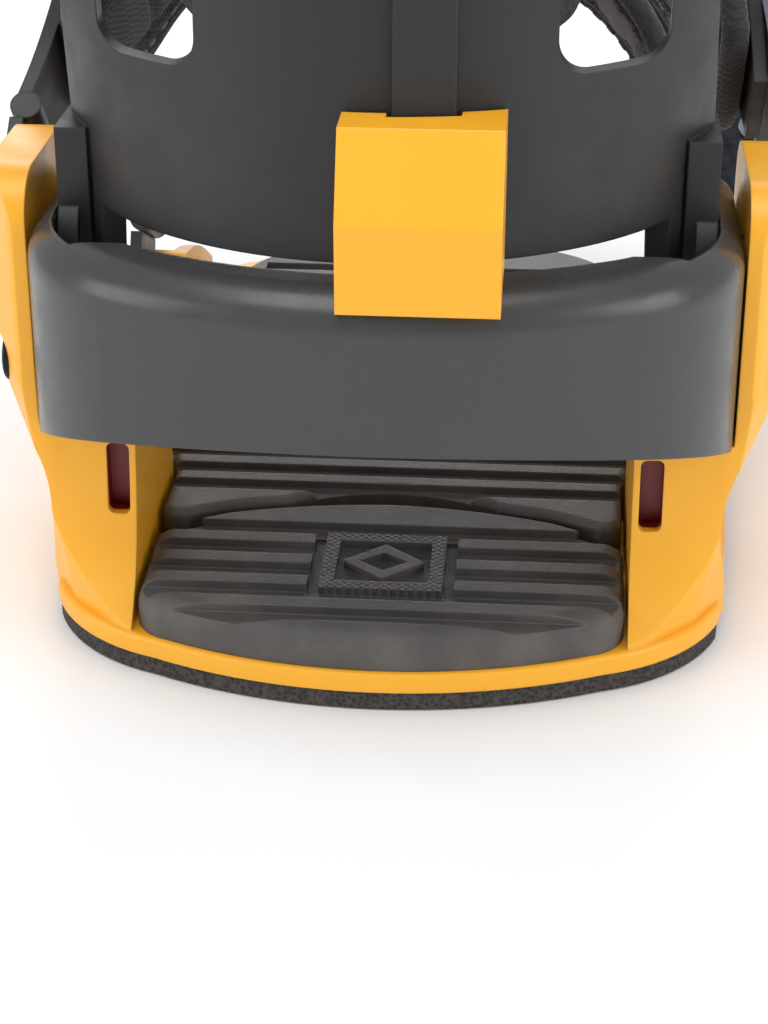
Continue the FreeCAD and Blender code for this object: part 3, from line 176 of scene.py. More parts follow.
@dataclass(frozen=True)
class MouldedNylon(Finish):
    """Glass-filled nylon from a spark-eroded mould: satin, lighter where edges rub, and dark red where
    shade is painted into deep cores.
    """

    base: str
    shade: str
    rubbed: str
    gloss: float = 0.36
    grain_mm: float = 0.35
    grain_deep_mm: float = 0.012
    tone_mm: float = 24.0
    wear_mm: float = 2.4
    smear_mm: float = 7.0
    edge_mm: float = 0.5
    glow: float = 0.0
    ior: float = 1.53
    shade_boxes_mm: tuple[ShadeBox, ...] = ()
    # dark red painted shade for the deep cores, which light hardly reaches
    core_shade: str = "#7A0C02"

    def in_core_shade(self, place: Feed) -> Feed:
        """Tells the towers' deep cores, where almost no light gets in and shade is painted, from the
        rest.

        Args:
            place: the piece's own coordinates.

        Returns:
            One inside a box of painted shade, else nought.
        """
        share: Feed = 0.0
        apart = self.add("SeparateXYZ", {"Vector": place})
        away = [self.add("Math", {0: apart.outputs[axis]}, operation="ABSOLUTE") for axis in "XYZ"]
        for core_shade in self.shade_boxes_mm:
            inside: Feed = 1.0
            for along, (middle, half) in zip(away, core_shade):
                near = self.add("Math", {0: along, 1: middle * MM, 2: half * MM},
                                operation="COMPARE")
                inside = self.add("Math", {0: near, 1: inside}, operation="MULTIPLY")
            share = self.add("Math", {0: inside, 1: share}, operation="MAXIMUM")
        return share

    def draw(self) -> dict[str | int, Feed]:
        """Mixes two tones, lightens rubbed edges, paints shade into the deep cores and adds a fine grain.

        Returns:
            What feeds the surface.
        """
        place = self.add("TexCoord").outputs["Object"]
        slow = self.add("TexNoise", {"Vector": place, "Scale": cells(self.tone_mm), "Detail": 3.0})
        tone = self.add("Mix", {"Factor": slow, 6: linear(self.base), 7: linear(self.shade)},
                        data_type="RGBA")
        # A mould's edges are never sharp: the light catches a small radius.
        soft, edge = self.edges(self.edge_mm, 0.72, 0.75)
        patchy = self.add("TexNoise", {"Vector": place, "Scale": cells(self.wear_mm), "Detail": 4.0})
        rub = self.add("Math", {0: edge, 1: patchy}, operation="MULTIPLY")
        colour = self.add("Mix", {"Factor": rub, 6: tone, 7: linear(self.rubbed)}, data_type="RGBA")
        # Painted shade: the towers' deep cores turn dark red, as little light gets in.
        if self.shade_boxes_mm:
            deep = self.in_core_shade(place)
            colour = self.add("Mix", {"Factor": deep, 6: colour, 7: linear(self.core_shade)}, data_type="RGBA")
        smear = self.add("TexNoise", {"Vector": place, "Scale": cells(self.smear_mm), "Detail": 5.0})
        rough = self.add("MapRange", {"Value": smear, "From Min": 0.3, "From Max": 0.7,
                                      "To Min": self.gloss - 0.05, "To Max": self.gloss + 0.09})
        fine = self.add("TexNoise", {"Vector": place, "Scale": cells(self.grain_mm), "Detail": 2.0})
        bump = self.add("Bump", {"Height": fine, "Normal": soft, "Strength": 0.7,
                                 "Distance": self.grain_deep_mm * MM})
        return {"Base Color": colour, "Roughness": rough, "Normal": bump, "IOR": self.ior,
                "Subsurface Weight": self.glow, "Subsurface Radius": (1.0, 0.42, 0.1),
                "Subsurface Scale": 2.0 * MM}


@dataclass(frozen=True)
class GrainedRubber(Finish):
    """Moulded rubber with a sand grain, greyed by dust, lighter on its edges with dust and a painted
    sheen, and knurled on its badge's frame.
    """

    base: str
    dust_and_sheen: str
    grain_mm: float = 0.5
    grain_deep_mm: float = 0.08
    dust_mm: float = 9.0
    edge_mm: float = 0.5
    badge_y_mm: float = -81.2
    badge_half_mm: float = 11.2
    badge_half_y_mm: float = 9.9
    badge_frame_mm: float = 2.6
    knurl_mm: float = 1.15
    knurl_deep_mm: float = 1.2

    def knurl(self, place: Feed) -> bpy.types.Node:
        """Draws crossed grooves and the square band that they lie in.

        Args:
            place: the piece's own coordinates.

        Returns:
            The knurl's height.
        """
        longer = self.badge_half_mm / self.badge_half_y_mm
        about = self.add("Mapping", {"Vector": place, "Scale": (1.0, longer, 1.0),
                                     "Location": (0.0, -self.badge_y_mm * longer * MM, 0.0)})
        apart = self.add("SeparateXYZ", {"Vector": about})
        wide, deep = [self.add("Math", {0: apart.outputs[axis]}, operation="ABSOLUTE") for axis in "XY"]
        square = self.add("Math", {0: wide, 1: deep}, operation="MAXIMUM")
        half_frame = self.badge_frame_mm / 2
        middle = (self.badge_half_mm - half_frame) * MM
        band = self.add("Math", {0: square, 1: middle, 2: half_frame * MM}, operation="COMPARE")
        turned = self.add("Mapping", {"Vector": about, "Rotation": (0.0, 0.0, math.radians(45.0))})
        pitch = waves(self.knurl_mm)
        one = self.add("TexWave", {"Vector": turned, "Scale": pitch}, bands_direction="X")
        other = self.add("TexWave", {"Vector": turned, "Scale": pitch}, bands_direction="Y")
        crossed = self.add("Math", {0: one, 1: other}, operation="MULTIPLY")
        return self.add("Math", {0: crossed, 1: band}, operation="MULTIPLY")

    def draw(self) -> dict[str | int, Feed]:
        """Lays two grains and the knurl over rounded edges, which dust and a painted sheen lighten.

        Returns:
            What feeds the surface.
        """
        place = self.add("TexCoord").outputs["Object"]
        soft, edge = self.edges(self.edge_mm, 0.75, 0.6)
        dust = self.add("TexNoise", {"Vector": place, "Scale": cells(self.dust_mm), "Detail": 5.0})
        cloud = self.add("MapRange", {"Value": dust, "From Min": 0.4, "From Max": 0.75,
                                      "To Max": 0.18})
        # Lighter edges: partly dust, partly a painted sheen for light glancing off the rib tops.
        share = self.add("Math", {0: edge, 1: cloud}, operation="MAXIMUM")
        colour = self.add("Mix", {"Factor": share, 6: linear(self.base), 7: linear(self.dust_and_sheen)},
                          data_type="RGBA")
        knurl = self.knurl(place)
        sand = self.add("TexVoronoi", {"Vector": place, "Scale": cells(self.grain_mm)})
        rough = self.add("MapRange", {"Value": sand, "From Max": 0.6, "To Min": 0.42,
                                      "To Max": 0.58})
        first = self.add("Bump", {"Height": knurl, "Normal": soft,
                                  "Distance": self.knurl_deep_mm * MM})
        second = self.add("Bump", {"Height": sand, "Normal": first, "Strength": 0.8,
                                   "Distance": self.grain_deep_mm * MM})
        return {"Base Color": colour, "Roughness": rough, "Normal": second, "IOR": 1.52}


@dataclass(frozen=True)
class CellFoam(Finish):
    """Closed-cell EVA foam, die cut: matt, with burst cells on every cut edge."""

    base: str
    fleck: str
    cell_mm: float = 0.8
    deep_mm: float = 0.25
    rough: float = 0.82
    burst: float = 2.7          # a large cell's size, in small ones

    def draw(self) -> dict[str | int, Feed]:
        """Pits the surface with cells of two sizes.

        Returns:
            What feeds the surface.
        """
        place = self.add("TexCoord").outputs["Object"]
        small = self.add("TexVoronoi", {"Vector": place, "Scale": cells(self.cell_mm)})
        large = self.add("TexVoronoi", {"Vector": place, "Scale": cells(self.cell_mm * self.burst)})
        share = self.add("MapRange", {"Value": small, "From Min": 0.2, "From Max": 0.75})
        colour = self.add("Mix", {"Factor": share, 6: linear(self.base), 7: linear(self.fleck)},
                          data_type="RGBA")
        first = self.add("Bump", {"Height": large, "Strength": 0.6, "Distance": self.deep_mm * MM})
        second = self.add("Bump", {"Height": small, "Normal": first, "Strength": 0.9,
                                   "Distance": self.deep_mm * MM})
        return {"Base Color": colour, "Roughness": self.rough, "Normal": second, "IOR": 1.48}


@dataclass(frozen=True)
class PlatedSteel(Finish):
    """Turned or stamped metal under plating or anodising: a soft gloss with bright edges."""

    base: str
    bright: str
    gloss: float = 0.32
    edge_mm: float = 0.25
    mottle_mm: float = 1.6
    mottle_deep_mm: float = 0.02

    def draw(self) -> dict[str | int, Feed]:
        """Mottles the plating and brightens the edges.

        Returns:
            What feeds the surface.
        """
        place = self.add("TexCoord").outputs["Object"]
        soft, edge = self.edges(self.edge_mm, 0.75, 0.6)
        mottle = self.add("TexNoise", {"Vector": place, "Scale": cells(self.mottle_mm), "Detail": 4.0})
        share = self.add("Math", {0: edge, 1: mottle}, operation="MULTIPLY")
        colour = self.add("Mix", {"Factor": share, 6: linear(self.base), 7: linear(self.bright)},
                          data_type="RGBA")
        rough = self.add("MapRange", {"Value": mottle, "From Min": 0.3, "From Max": 0.7,
                                      "To Min": self.gloss - 0.07, "To Max": self.gloss + 0.12})
        bump = self.add("Bump", {"Height": mottle, "Normal": soft, "Strength": 0.3,
                                 "Distance": self.mottle_deep_mm * MM})
        return {"Base Color": colour, "Roughness": rough, "Normal": bump, "Metallic": 1.0}


@dataclass(frozen=True)
class PadCloth(Finish):
    """Woven polyester laminated to foam: a plain weave with a slight sheen of loose fibres."""

    warp: str
    weft: str
    thread_mm: float = 0.9      # coarser than the real 0.4 so that the weave shows
    deep_mm: float = 0.12
    wear_mm: float = 14.0

    def draw(self) -> dict[str | int, Feed]:
        """Weaves two sets of threads over the piece's own lay.

        Returns:
            What feeds the surface.
        """
        lay = self.add("Attribute", attribute_name="lay").outputs["Vector"]
        pitch = waves(self.thread_mm)
        up, across = [self.add("TexWave", {"Vector": lay, "Scale": pitch, "Distortion": 0.6},
                               bands_direction=axis) for axis in "XY"]
        check = self.add("TexChecker", {"Vector": lay, "Scale": cells(self.thread_mm)}).outputs["Fac"]
        over = self.add("Mix", {"Factor": check, 2: up, 3: across}, data_type="FLOAT")
        worn = self.add("TexNoise", {"Vector": lay, "Scale": cells(self.wear_mm), "Detail": 4.0})
        share = self.add("Math", {0: over, 1: worn}, operation="MULTIPLY")
        colour = self.add("Mix", {"Factor": share, 6: linear(self.warp), 7: linear(self.weft)},
                          data_type="RGBA")
        bump = self.add("Bump", {"Height": over, "Strength": 0.9, "Distance": self.deep_mm * MM})
        return {"Base Color": colour, "Roughness": 0.86, "Normal": bump, "IOR": 1.5,
                "Sheen Weight": 0.25, "Sheen Roughness": 0.5}


@dataclass(frozen=True)
class SewnThread(Finish):
    """Twisted polyester thread: short bright strands that slant round it."""

    base: str
    shine: str
    twist_mm: float = 0.6
    strand_deep_mm: float = 0.08

    def draw(self) -> dict[str | int, Feed]:
        """Slants fine strands over the thread.

        Returns:
            What feeds the surface.
        """
        place = self.add("TexCoord").outputs["Object"]
        strand = self.add("TexWave", {"Vector": place, "Scale": waves(self.twist_mm)},
                          bands_direction="DIAGONAL")
        colour = self.add("Mix", {"Factor": strand, 6: linear(self.base), 7: linear(self.shine)},
                          data_type="RGBA")
        bump = self.add("Bump", {"Height": strand, "Distance": self.strand_deep_mm * MM})
        return {"Base Color": colour, "Roughness": 0.6, "Normal": bump, "IOR": 1.5,
                "Sheen Weight": 0.2}


@dataclass(frozen=True)
class PaperSweep(Finish):
    """The studio's pale paper floor: dead matt, with hardly any grain."""

    base: str
    tooth_mm: float = 3.0
    tooth_deep_mm: float = 0.05

    def draw(self) -> dict[str | int, Feed]:
        """Gives the paper a faint tooth.

        Returns:
            What feeds the surface.
        """
        place = self.add("TexCoord").outputs["Object"]
        tooth = self.add("TexNoise", {"Vector": place, "Scale": cells(self.tooth_mm), "Detail": 3.0})
        bump = self.add("Bump", {"Height": tooth, "Strength": 0.1, "Distance": self.tooth_deep_mm * MM})
        return {"Base Color": linear(self.base), "Roughness": 0.92, "Normal": bump}


# Where the towers' deep cores hold a painted dark red shade.
TOWER_SHADE_BOXES_MM: tuple[ShadeBox, ...] = (
    ((48.1, 2.4), (67.4, 15.6), (32.1, 6.9)),
    ((50.4, 4.1), (66.0, 14.1), (29.0, 11.2)),
)
ORANGE = MouldedNylon("nylon_orange", "#FEB927", "#FCAD1E", "#FFDA8C", glow=0.04,
                      grain_deep_mm=0.01, shade_boxes_mm=TOWER_SHADE_BOXES_MM)
GRAPHITE = MouldedNylon("nylon_graphite", "#3D3E3E", "#383939", "#5D5E60", gloss=0.27, edge_mm=0.8)
BLACK_NYLON = MouldedNylon("nylon_black", "#252527", "#1C1C1E", "#434447", gloss=0.46, grain_mm=0.6,
                           grain_deep_mm=0.04)
TPU = MouldedNylon("tpu_grey", "#6C6F71", "#606365", "#8C8F92", gloss=0.4, ior=1.5)
RUBBER = GrainedRubber("rubber_charcoal", "#4D4A48", "#918C86")
EVA = CellFoam("eva_black", "#262422", "#4A4642", cell_mm=0.8, deep_mm=0.4)
BLACK_STEEL = PlatedSteel("steel_black", "#2A2B2E", "#9EA1A6", gloss=0.38)
BRIGHT_STEEL = PlatedSteel("steel_bright", "#BFC2C6", "#F0F2F4")
ALLOY = PlatedSteel("buckle_alloy", "#4C4F55", "#B9BDC4", gloss=0.34)
CLOTH = PadCloth("padding_black", "#1E1E20", "#3D3E42")
LINER_FOAM = CellFoam("liner_foam", "#242325", "#353437", cell_mm=1.1, deep_mm=0.12, rough=0.7)
THREAD = SewnThread("thread_grey", "#5A5B5E", "#8B8B8B")
PAPER = PaperSweep("pale_paper", "#F6F6F6")
SLOT_FINISHES = (ORANGE, GRAPHITE, BLACK_NYLON, TPU, RUBBER, EVA, BLACK_STEEL, BRIGHT_STEEL, ALLOY, CLOTH)
BY_SLOT = {finish.name: finish for finish in SLOT_FINISHES}


def dress_nodes(*names: str) -> None:
    """Gives CAD nodes the finishes of their material slots.

    Args:
        names: the nodes.
    """
    slots = {part["node"]: part["material_slot"] for part in frame["record"]["subparts"]}
    for name in names:
        BY_SLOT[slots[name]].dress(frame["nodes"][name])
        LOG.info("dressed %s in %s", name, slots[name])


# ------------------------------------------------------------------ sewing room ---------
def pick(*things: bpy.types.Object) -> None:
    """Selects only these objects, the first of them active."""
    bpy.ops.object.select_all(action="DESELECT")
    for thing in things:
        thing.select_set(True)
    bpy.context.view_layer.objects.active = things[0]


def apply(piece: bpy.types.Object, kind: str, **settings: object) -> None:
    """Adds a modifier to a piece and applies it.

    Args:
        piece: the piece.
        kind: the modifier's type.
        settings: the modifier's settings.
    """
    modifier = piece.modifiers.new("step", kind)
    for setting, value in settings.items():
        setattr(modifier, setting, value)
    pick(piece)
    bpy.ops.object.modifier_apply(modifier=modifier.name)


def pad_blank(name: str, node: str, voxel_mm: float) -> bpy.types.Object:
    """Cuts a pad's blank: a merged copy of its solid, in even small facets.

    Args:
        name: the new piece's name.
        node: the solid that it stands for.
        voxel_mm: size of a facet.

    Returns:
        The blank.
    """
    source = frame["nodes"][node]
    blank = bpy.data.objects.new(name, source.data.copy())
    bpy.context.scene.collection.objects.link(blank)
    pick(blank)
    bpy.ops.object.mode_set(mode="EDIT")
    bpy.ops.mesh.select_all(action="SELECT")
    bpy.ops.mesh.remove_doubles(threshold=WELD_MM * MM)
    bpy.ops.object.mode_set(mode="OBJECT")
    apply(blank, "REMESH", mode="VOXEL", voxel_size=voxel_mm * MM)
    return blank


def swell(piece: bpy.types.Object, hold: Callable[[Vector, Vector], float], shrink_mm: float,
          cap_mm: float) -> None:
    """Fills a pad: it starts a little small and blows up against the places that hold it.

    Args:
        piece: the pad's blank.
        hold: for a point and its normal, from 0, free, to 1, held.
        shrink_mm: how far free faces start inside.
        cap_mm: the furthest that a point may move.
    """
    mesh = piece.data
    weights = [hold(v.co, v.normal) for v in mesh.vertices]
    steps = [shrink_mm * MM * (1.0 - weight) for weight in weights]
    inward = [v.normal * step for v, step in zip(mesh.vertices, steps)]
    for vertex, move in zip(mesh.vertices, inward):
        vertex.co -= move
    group = piece.vertex_groups.new(name="held")
    for vertex, weight in zip(mesh.vertices, weights):
        if weight > 0.0:
            group.add([vertex.index], weight, "REPLACE")
    cloth = piece.modifiers.new("swell", "CLOTH")
    cloth.settings.quality = CLOTH_QUALITY
    cloth.settings.use_pressure = True
    cloth.settings.uniform_pressure_force = CLOTH_PRESSURE
    cloth.settings.vertex_group_mass = group.name
    cloth.settings.effector_weights.gravity = 0.0
    cloth.collision_settings.use_collision = False
    scene = bpy.context.scene
    for number in range(1, CLOTH_FRAMES + 1):
        scene.frame_set(number)
    blown = piece.evaluated_get(bpy.context.evaluated_depsgraph_get()).to_mesh()
    ends = [v.co.copy() for v in blown.vertices]
    piece.modifiers.remove(cloth)
    for vertex, end in zip(mesh.vertices, ends):
        step = end - vertex.co
        vertex.co += step * min(1.0, cap_mm * MM / max(step.length, TINY))
    piece.vertex_groups.clear()
    scene.frame_set(1)


def press(piece: bpy.types.Object, deep: Callable[[Vector, Vector], float]) -> None:
    """Presses seams and channels into a pad.

    Args:
        piece: the pad.
        deep: for a point and its normal, how far in it goes, in metres.
    """
    moves = [v.normal * deep(v.co, v.normal) for v in piece.data.vertices]
    for vertex, move in zip(piece.data.vertices, moves):
        vertex.co -= move


def lay_cloth(piece: bpy.types.Object,
              where: Callable[[Vector], tuple[float, float, float]]) -> None:
    """Writes the cloth's own lay on a piece, for its weave to follow.

    Args:
        piece: the piece.
        where: for a point, its place on the flat cloth.
    """
    lay = piece.data.attributes.new("lay", "FLOAT_VECTOR", "POINT")
    for vertex, value in zip(piece.data.vertices, lay.data):
        value.vector = where(vertex.co)


def smooth(piece: bpy.types.Object) -> None:
    """Shades a piece smooth, apart from its sharp edges."""
    pick(piece)
    bpy.ops.object.shade_smooth_by_angle(angle=math.radians(SMOOTH_UP_TO))


def sew(name: str, points: list[tuple[Vector, Vector]], length_mm: float) -> bpy.types.Object:
    """Models one stitch and repeats it along a seam.

    Args:
        name: the new piece's name.
        points: each stitch's middle and direction.
        length_mm: length of a stitch.

    Returns:
        All the stitches as one piece.
    """
    bpy.ops.object.select_all(action="DESELECT")
    bpy.ops.mesh.primitive_uv_sphere_add(segments=8, ring_count=6, radius=THREAD_R_MM * MM)
    one = bpy.context.object
    for vertex in one.data.vertices:
        if abs(vertex.co.z) > EQUATOR:
            vertex.co.z += math.copysign((length_mm / 2 - THREAD_R_MM) * MM, vertex.co.z)
    twins = []
    for middle, direction in points:
        twin = bpy.data.objects.new(name, one.data.copy())
        turn = direction.to_track_quat("Z", "Y").to_matrix().to_4x4()
        twin.data.transform(Matrix.Translation(middle) @ turn)
        bpy.context.scene.collection.objects.link(twin)
        twins.append(twin)
    bpy.data.objects.remove(one)
    pick(*twins)
    bpy.ops.object.join()
    smooth(twins[0])
    twins[0].name = name
    return twins[0]


# ------------------------------------------------------------------ sub-assemblies ------
@dataclass
class Footbed:
    """Foam, baseplate, disc, heel and footbed pads, and the sliding toe ramp."""

    nodes: tuple[str, ...] = ("foam_base_pad", "baseplate", "mounting_disc", "heel_pad",
                              "main_footbed_pad", "toe_ramp_carrier", "toe_ramp_pad",
                              "toe_ramp_screws")

    def dress(self) -> None:
        """Gives every solid its finish."""
        dress_nodes(*self.nodes)


@dataclass
class Heelcup:
    """The satin loop behind the heel with its bolts and sleeve nuts."""

    nodes: tuple[str, ...] = ("heelcup", "heelcup_bolts", "heelcup_nuts")

    def dress(self) -> None:
        """Gives every solid its finish."""
        dress_nodes(*self.nodes)


@dataclass
class Highback:
    """The folding back with its liner, pivots, rack and forward-lean adjuster."""

    nodes: tuple[str, ...] = ("highback_shell", "highback_rack", "highback_pivot_bolts",
                              "highback_pivot_washers", "highback_pivot_nuts", "lean_adjuster")
    channel_x_mm: float = 13.0
    channel_z_mm: tuple[float, ...] = (150.0, 182.0, 214.0)
    channel_half_mm: float = 1.7
    channel_deep_mm: float = 1.6
    channel_bow: float = 0.004  # rise per square millimetre off the middle
    glued_below: float = 0.25   # faces that look to the toe less than this lie on the shell
    facet_mm: float = 2.2
    shrink_mm: float = 0.7
    swell_mm: float = 1.4

    def held(self, point: Vector, normal: Vector) -> float:
        """Says how firmly a point of the liner is held: wholly on the glued side."""
        return 1.0 if normal.y < self.glued_below else 0.0

    def groove(self, point: Vector, normal: Vector) -> float:
        """Gives the depth of the moulded channels at a point of the liner.

        Args:
            point: a point of the liner.
            normal: its normal.

        Returns:
            The depth, in metres.
        """
        if normal.y < self.glued_below:
            return 0.0
        x, z = abs(point.x) / MM, point.z / MM
        nearest = min(abs(z - level - self.channel_bow * x * x) for level in self.channel_z_mm)
        near = min(abs(x - self.channel_x_mm), nearest)
        return self.channel_deep_mm * MM * math.exp(-(near / self.channel_half_mm) ** 2)

    def liner(self) -> bpy.types.Object:
        """Builds the moulded foam liner.

        Returns:
            The liner.
        """
        liner = pad_blank("liner", "highback_liner", self.facet_mm)
        swell(liner, self.held, self.shrink_mm, self.swell_mm)
        apply(liner, "SUBSURF", levels=1, render_levels=1)
        press(liner, self.groove)
        smooth(liner)
        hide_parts("highback_liner")
        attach(liner, "highback")
        return liner

    def dress(self) -> None:
        """Builds the liner and gives every solid its finish."""
        dress_nodes(*self.nodes)
        LINER_FOAM.dress(self.liner())
        LOG.info("built the highback liner")


class StrapPlace(Enum):
    """Which of the two straps."""

    ANKLE = "ankle"
    TOE = "toe"


@dataclass
class Strap:
    """One ratchet strap: shell, padding, toothed strap and buckle. Lengths are in millimetres."""

    place: StrapPlace
    half: float                 # half the span between the hinges
    y: float                    # where the strap's own plane starts
    z: float
    lean: float                 # degrees that the strap leans to the toe
    hinge: float                # height of the hinge in the strap's own plane
    top: float                  # radius over the boot
    join: float                 # angle where that radius begins
    leaf: tuple[tuple[float, float], ...]   # half widths of the padding by height
    pad_low: float              # height where the padding ends
    side: float                 # radius of the shell's inner face
    quilt: float = 21.0         # distance between the sewn channels
    pad_t: float = 6.0
    glue: float = 0.1           # between the shell and the padding
    roll: float = 66.0          # radius at which lengths over the boot are measured
    facet: float = 2.0
    shrink: float = 0.9
    swelling: float = 1.7
    rim: float = 6.0            # from the edge to the channel that runs round
    channel_half: float = 1.5
    channel_deep: float = 1.5
    tape_r: float = 2.6
    tape_in: float = 0.6
    seam_in: float = 4.4
    seam_pitch: float = 4.2
    stitch: float = 3.0
    facing_shell: float = 0.3   # faces that look out more than this lie on the shell

    def plane(self) -> Matrix:
        """Gives the matrix from the strap's own plane to the binding."""
        turn = Matrix.Rotation(math.radians(90.0 - self.lean), 4, "X")
        return Matrix.Translation(Vector((0.0, self.y, self.z)) * MM) @ turn @ Matrix.Scale(MM, 4)

    def width(self, height: float) -> float:
        """Gives the pad's half width at a height in the strap's plane."""
        points = self.leaf
        for (low, near), (high, far) in zip(points, points[1:]):
            if height <= high:
                return near + (far - near) * max(0.0, (height - low) / (high - low))
        return points[-1][1]

    def path(self, offset: float, count: int = 72) -> list[Vector]:
        """Runs over the boot from the hinge side to the buckle side.

        Args:
            offset: distance out from the shell's inner face.
            count: number of points over the top arc.

        Returns:
            Points in the strap's own plane, cut off at the padding's ends.
        """
        hinge = Vector((-self.half, self.hinge))
        centre = hinge + Vector((math.cos(math.radians(self.join)),
                                 math.sin(math.radians(self.join)))) * (self.side - self.top)
        to_centre = centre - hinge
        slant = math.atan2(to_centre.y, to_centre.x) + math.asin(self.top / to_centre.length)
        along = Vector((math.cos(slant), math.sin(slant)))
        outward = Vector((-along.y, along.x))
        run = math.sqrt(to_centre.length ** 2 - self.top ** 2)
        points = []
        for i in range(STRAIGHT_STEPS):
            points.append(hinge + along * (run * i / STRAIGHT_STEPS) + outward * offset)
        start, stop = math.atan2(outward.y, outward.x), math.radians(self.join)
        for i in range(count):
            turn = start + (stop - start) * i / count
            points.append(centre + Vector((math.cos(turn), math.sin(turn))) * (self.top + offset))
        for i in range(SIDE_STEPS):
            turn = stop - math.radians(self.join + PAST_HINGE) * i / (SIDE_STEPS - 1)
            points.append(hinge + Vector((math.cos(turn), math.sin(turn))) * (self.side + offset))
        return [p for p in points if p.y >= self.pad_low]

    def local(self, point: Vector) -> tuple[float, float, float]:
        """Places a point on the flat strap.

        Args:
            point: a point of the binding.

        Returns:
            Length over the boot, place across the strap and distance from the middle.
        """
        flat = self.plane().inverted() @ point
        away = Vector((flat.x, flat.y - self.hinge))
        return math.atan2(away.x, away.y) * self.roll, flat.z, away.length

    def facing(self, point: Vector, normal: Vector) -> float:
        """Tells how far a face looks away from the boot, from -1 to 1."""
        flat = self.plane().inverted() @ point
        out = self.plane().to_3x3() @ Vector((flat.x, flat.y - self.hinge, 0.0)).normalized()
        return normal.dot(out.normalized())

    def held(self, point: Vector, normal: Vector) -> float:
        """Says how firmly a point of the padding is held: wholly where the shell lies on it."""
        return 1.0 if self.facing(point, normal) > self.facing_shell else 0.0

    def groove(self, point: Vector, normal: Vector) -> float:
        """Gives the depth of the sewn channels at a point of the padding.

        Args:
            point: a point of the padding.
            normal: its normal.

        Returns:
            The depth, in metres.
        """
        if self.facing(point, normal) > -self.facing_shell:
            return 0.0
        run, across, _ = self.local(point)
        height = (self.plane().inverted() @ point).y
        inside = self.width(height) - abs(across)
        near = abs(inside - self.rim)
        if inside > self.rim:
            near = min(near, abs((run + self.quilt / 2) % self.quilt - self.quilt / 2))
        return self.channel_deep * MM * math.exp(-(near / self.channel_half) ** 2)

    def rail(self, points: list[Vector], sign: int, inside: float) -> list[Vector]:
        """Moves a path over the boot to one long edge of the padding.

        Args:
            points: the path, in the strap's own plane.
            sign: which edge, 1 or -1.
            inside: distance in from that edge.

        Returns:
            The moved points.
        """
        return [Vector((p.x, p.y, sign * (self.width(p.y) - inside))) for p in points]

    def lay(self, piece: bpy.types.Object) -> None:
        """Writes the flat strap's own lay on a piece."""
        lay_cloth(piece, lambda point: tuple(value * MM for value in self.local(point)))

    def pad(self) -> bpy.types.Object:
        """Builds the quilted padding.

        Returns:
            The padding.
        """
        pad = pad_blank(f"{self.place.value}_pad", f"{self.place.value}_strap_padding", self.facet)
        swell(pad, self.held, self.shrink, self.swelling)
        apply(pad, "SUBSURF", levels=1, render_levels=1)
        press(pad, self.groove)
        self.lay(pad)
        smooth(pad)
        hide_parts(f"{self.place.value}_strap_padding")
        return pad

    def binding(self) -> bpy.types.Object:
        """Builds the folded tape that closes the padding's edge.

        Returns:
            The tape.
        """
        middle = self.path(-self.glue - self.pad_t / 2)
        loop = self.rail(middle, 1, self.tape_in) + self.rail(middle, -1, self.tape_in)[::-1]
        bpy.ops.object.select_all(action="DESELECT")
        bpy.ops.curve.primitive_nurbs_path_add()
        tape = bpy.context.object
        tape.name = f"{self.place.value}_edge_tape"
        spline = tape.data.splines[0]
        spline.points.add(len(loop) - len(spline.points))
        for point, place in zip(spline.points, loop):
            point.co = (*(self.plane() @ place), 1.0)
        spline.order_u = 3
        spline.use_endpoint_u = False
        spline.use_cyclic_u = True
        tape.location = (0.0, 0.0, 0.0)
        tape.data.bevel_depth = self.tape_r * MM
        tape.data.bevel_resolution = 3
        tape.data.resolution_u = 3
        pick(tape)
        bpy.ops.object.convert(target="MESH")
        tape = bpy.context.object
        self.lay(tape)
        smooth(tape)
        return tape

    def seam(self) -> bpy.types.Object:
        """Sews the row of stitches just inside the tape, on the boot's side.

        Returns:
            The stitches.
        """
        inner = self.path(-2 * self.glue - self.pad_t, SEAM_POINTS)
        stitches = []
        for sign in (1, -1):
            track = [self.plane() @ point for point in self.rail(inner, sign, self.seam_in)]
            gone, last = 0.0, -math.inf
            for here, there in zip(track, track[1:]):
                gone += (there - here).length
                if gone - last > self.seam_pitch * MM:
                    stitches.append((here, (there - here).normalized()))
                    last = gone
        return sew(f"{self.place.value}_seam", stitches, self.stitch)

    def dress(self) -> None:
        """Builds the soft pieces and gives every piece its finish."""
        name = self.place.value
        dress_nodes(*(node for node in frame["nodes"]
                      if node.startswith(name + "_") and node != f"{name}_strap_padding"))
        for piece, finish in ((self.pad(), CLOTH), (self.binding(), CLOTH), (self.seam(), THREAD)):
            finish.dress(piece)
            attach(piece, f"{name}_strap")
            LOG.info("built %s", piece.name)


@dataclass(frozen=True)
class Lamp:
    """A soft square light that faces the heel."""

    name: str
    place: tuple[float, float, float]
    size: float
    watts: float

    def hang(self) -> None:
        """Puts the lamp in its place."""
        turn = (Vector(self.place) - Vector(LIT_POINT)).to_track_quat("Z", "Y")
        bpy.ops.object.light_add(type="AREA", location=self.place, rotation=turn.to_euler())
        light = bpy.context.object
        light.name = self.name
        light.data.size = self.size
        light.data.energy = self.watts


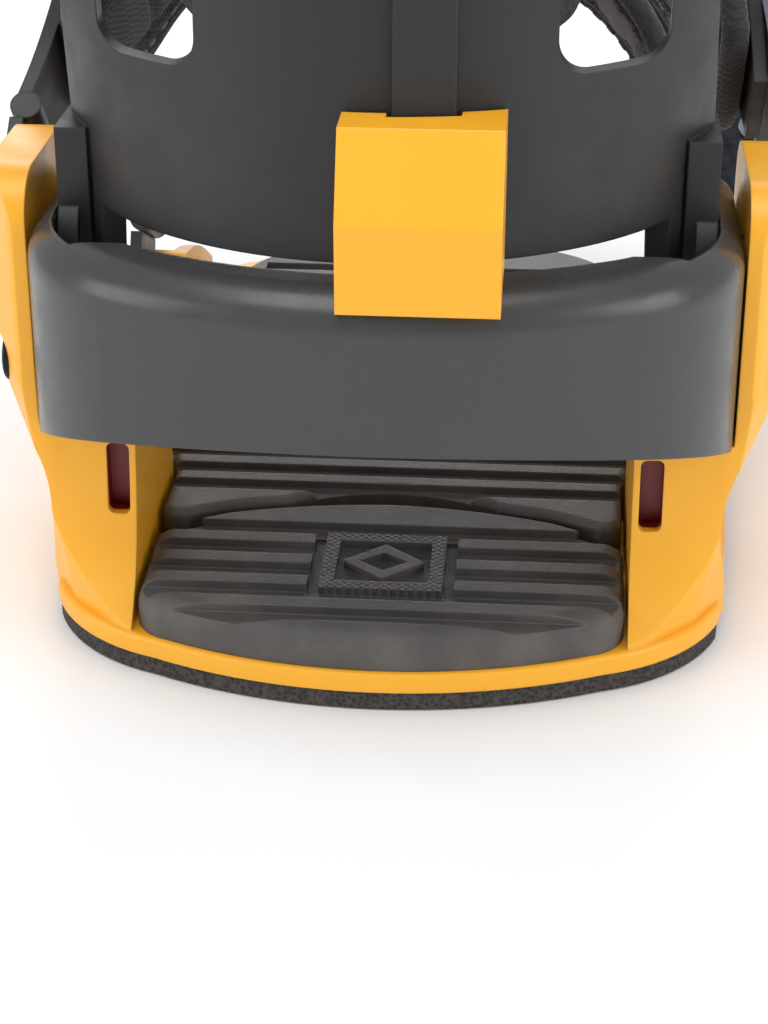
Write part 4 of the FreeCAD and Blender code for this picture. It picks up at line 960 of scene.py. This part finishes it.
@dataclass
class Studio:
    """Pale floor, soft lights and the camera. Lengths are in metres."""

    lamps: tuple[Lamp, ...] = (
        Lamp("top", (-0.1, -0.4, 1.25), 0.9, 7.8),
        Lamp("front", (0.0, 1.1, 0.55), 0.9, 6.0),
        Lamp("left", (-1.0, -0.55, 0.4), 0.6, 3.0),
        Lamp("right", (1.0, -0.5, 0.45), 0.6, 3.8),
    )
    sky: str = "#F8F9FB"
    sky_strength: float = 0.6
    floor_size: float = 12.0
    floor_z: float = -0.0003    # just under the foam
    azimuth: float = 4.5        # degrees from straight behind the heel
    elevation: float = 26.0
    target: tuple[float, float, float] = (-0.00413, -0.02829, 0.0)
    distance: float = 0.47632
    lens_mm: float = 80.5
    sensor_mm: float = 36.0
    nearest: float = 0.02

    def camera(self) -> None:
        """Looks at the heel from behind and above, a little from the right."""
        a, e = math.radians(self.azimuth), math.radians(self.elevation)
        back = Vector((math.sin(a) * math.cos(e), -math.cos(a) * math.cos(e), math.sin(e)))
        bpy.ops.object.camera_add(location=Vector(self.target) + back * self.distance,
                                  rotation=back.to_track_quat("Z", "Y").to_euler())
        camera = bpy.context.object
        camera.data.lens = self.lens_mm
        camera.data.sensor_width = self.sensor_mm
        camera.data.clip_start = self.nearest
        bpy.context.scene.camera = camera

    def build(self) -> None:
        """Sets up the floor, the lights and the camera."""
        bpy.ops.mesh.primitive_plane_add(size=self.floor_size, location=(0.0, 0.0, self.floor_z))
        floor = bpy.context.object
        floor.name = "floor"
        PAPER.dress(floor)
        world = bpy.data.worlds.new("studio")
        bpy.context.scene.world = world
        world.use_nodes = True
        sky = world.node_tree.nodes["Background"]
        sky.inputs["Color"].default_value = linear(self.sky)
        sky.inputs["Strength"].default_value = self.sky_strength
        for lamp in self.lamps:
            lamp.hang()
        bpy.context.scene.view_settings.view_transform = "Standard"
        self.camera()


ANKLE = Strap(StrapPlace.ANKLE, half=71.0, y=-54.0, z=65.0, lean=50.0, hinge=26.0, top=60.0,
              join=22.0, pad_low=41.0, side=136.5,
              leaf=((20.0, 12.0), (40.0, 14.0), (62.0, 24.0), (88.0, 31.0), (124.0, 33.0)))
TOE = Strap(StrapPlace.TOE, half=67.0, y=52.0, z=17.5, lean=25.0, hinge=16.0, top=54.0,
            join=15.0, pad_low=31.0, side=128.5, quilt=19.0,
            leaf=((6.0, 12.0), (30.0, 13.0), (50.0, 18.0), (70.0, 21.0), (100.0, 22.0)))


def main() -> None:
    """Builds the binding's sub-assemblies in order."""
    logging.basicConfig(level=logging.INFO, format="%(message)s")
    bpy.ops.object.select_all(action="DESELECT")
    Studio().build()
    for assembly in (Footbed(), Heelcup(), Highback(), ANKLE, TOE):
        assembly.dress()


if __name__ == "__main__":
    main()
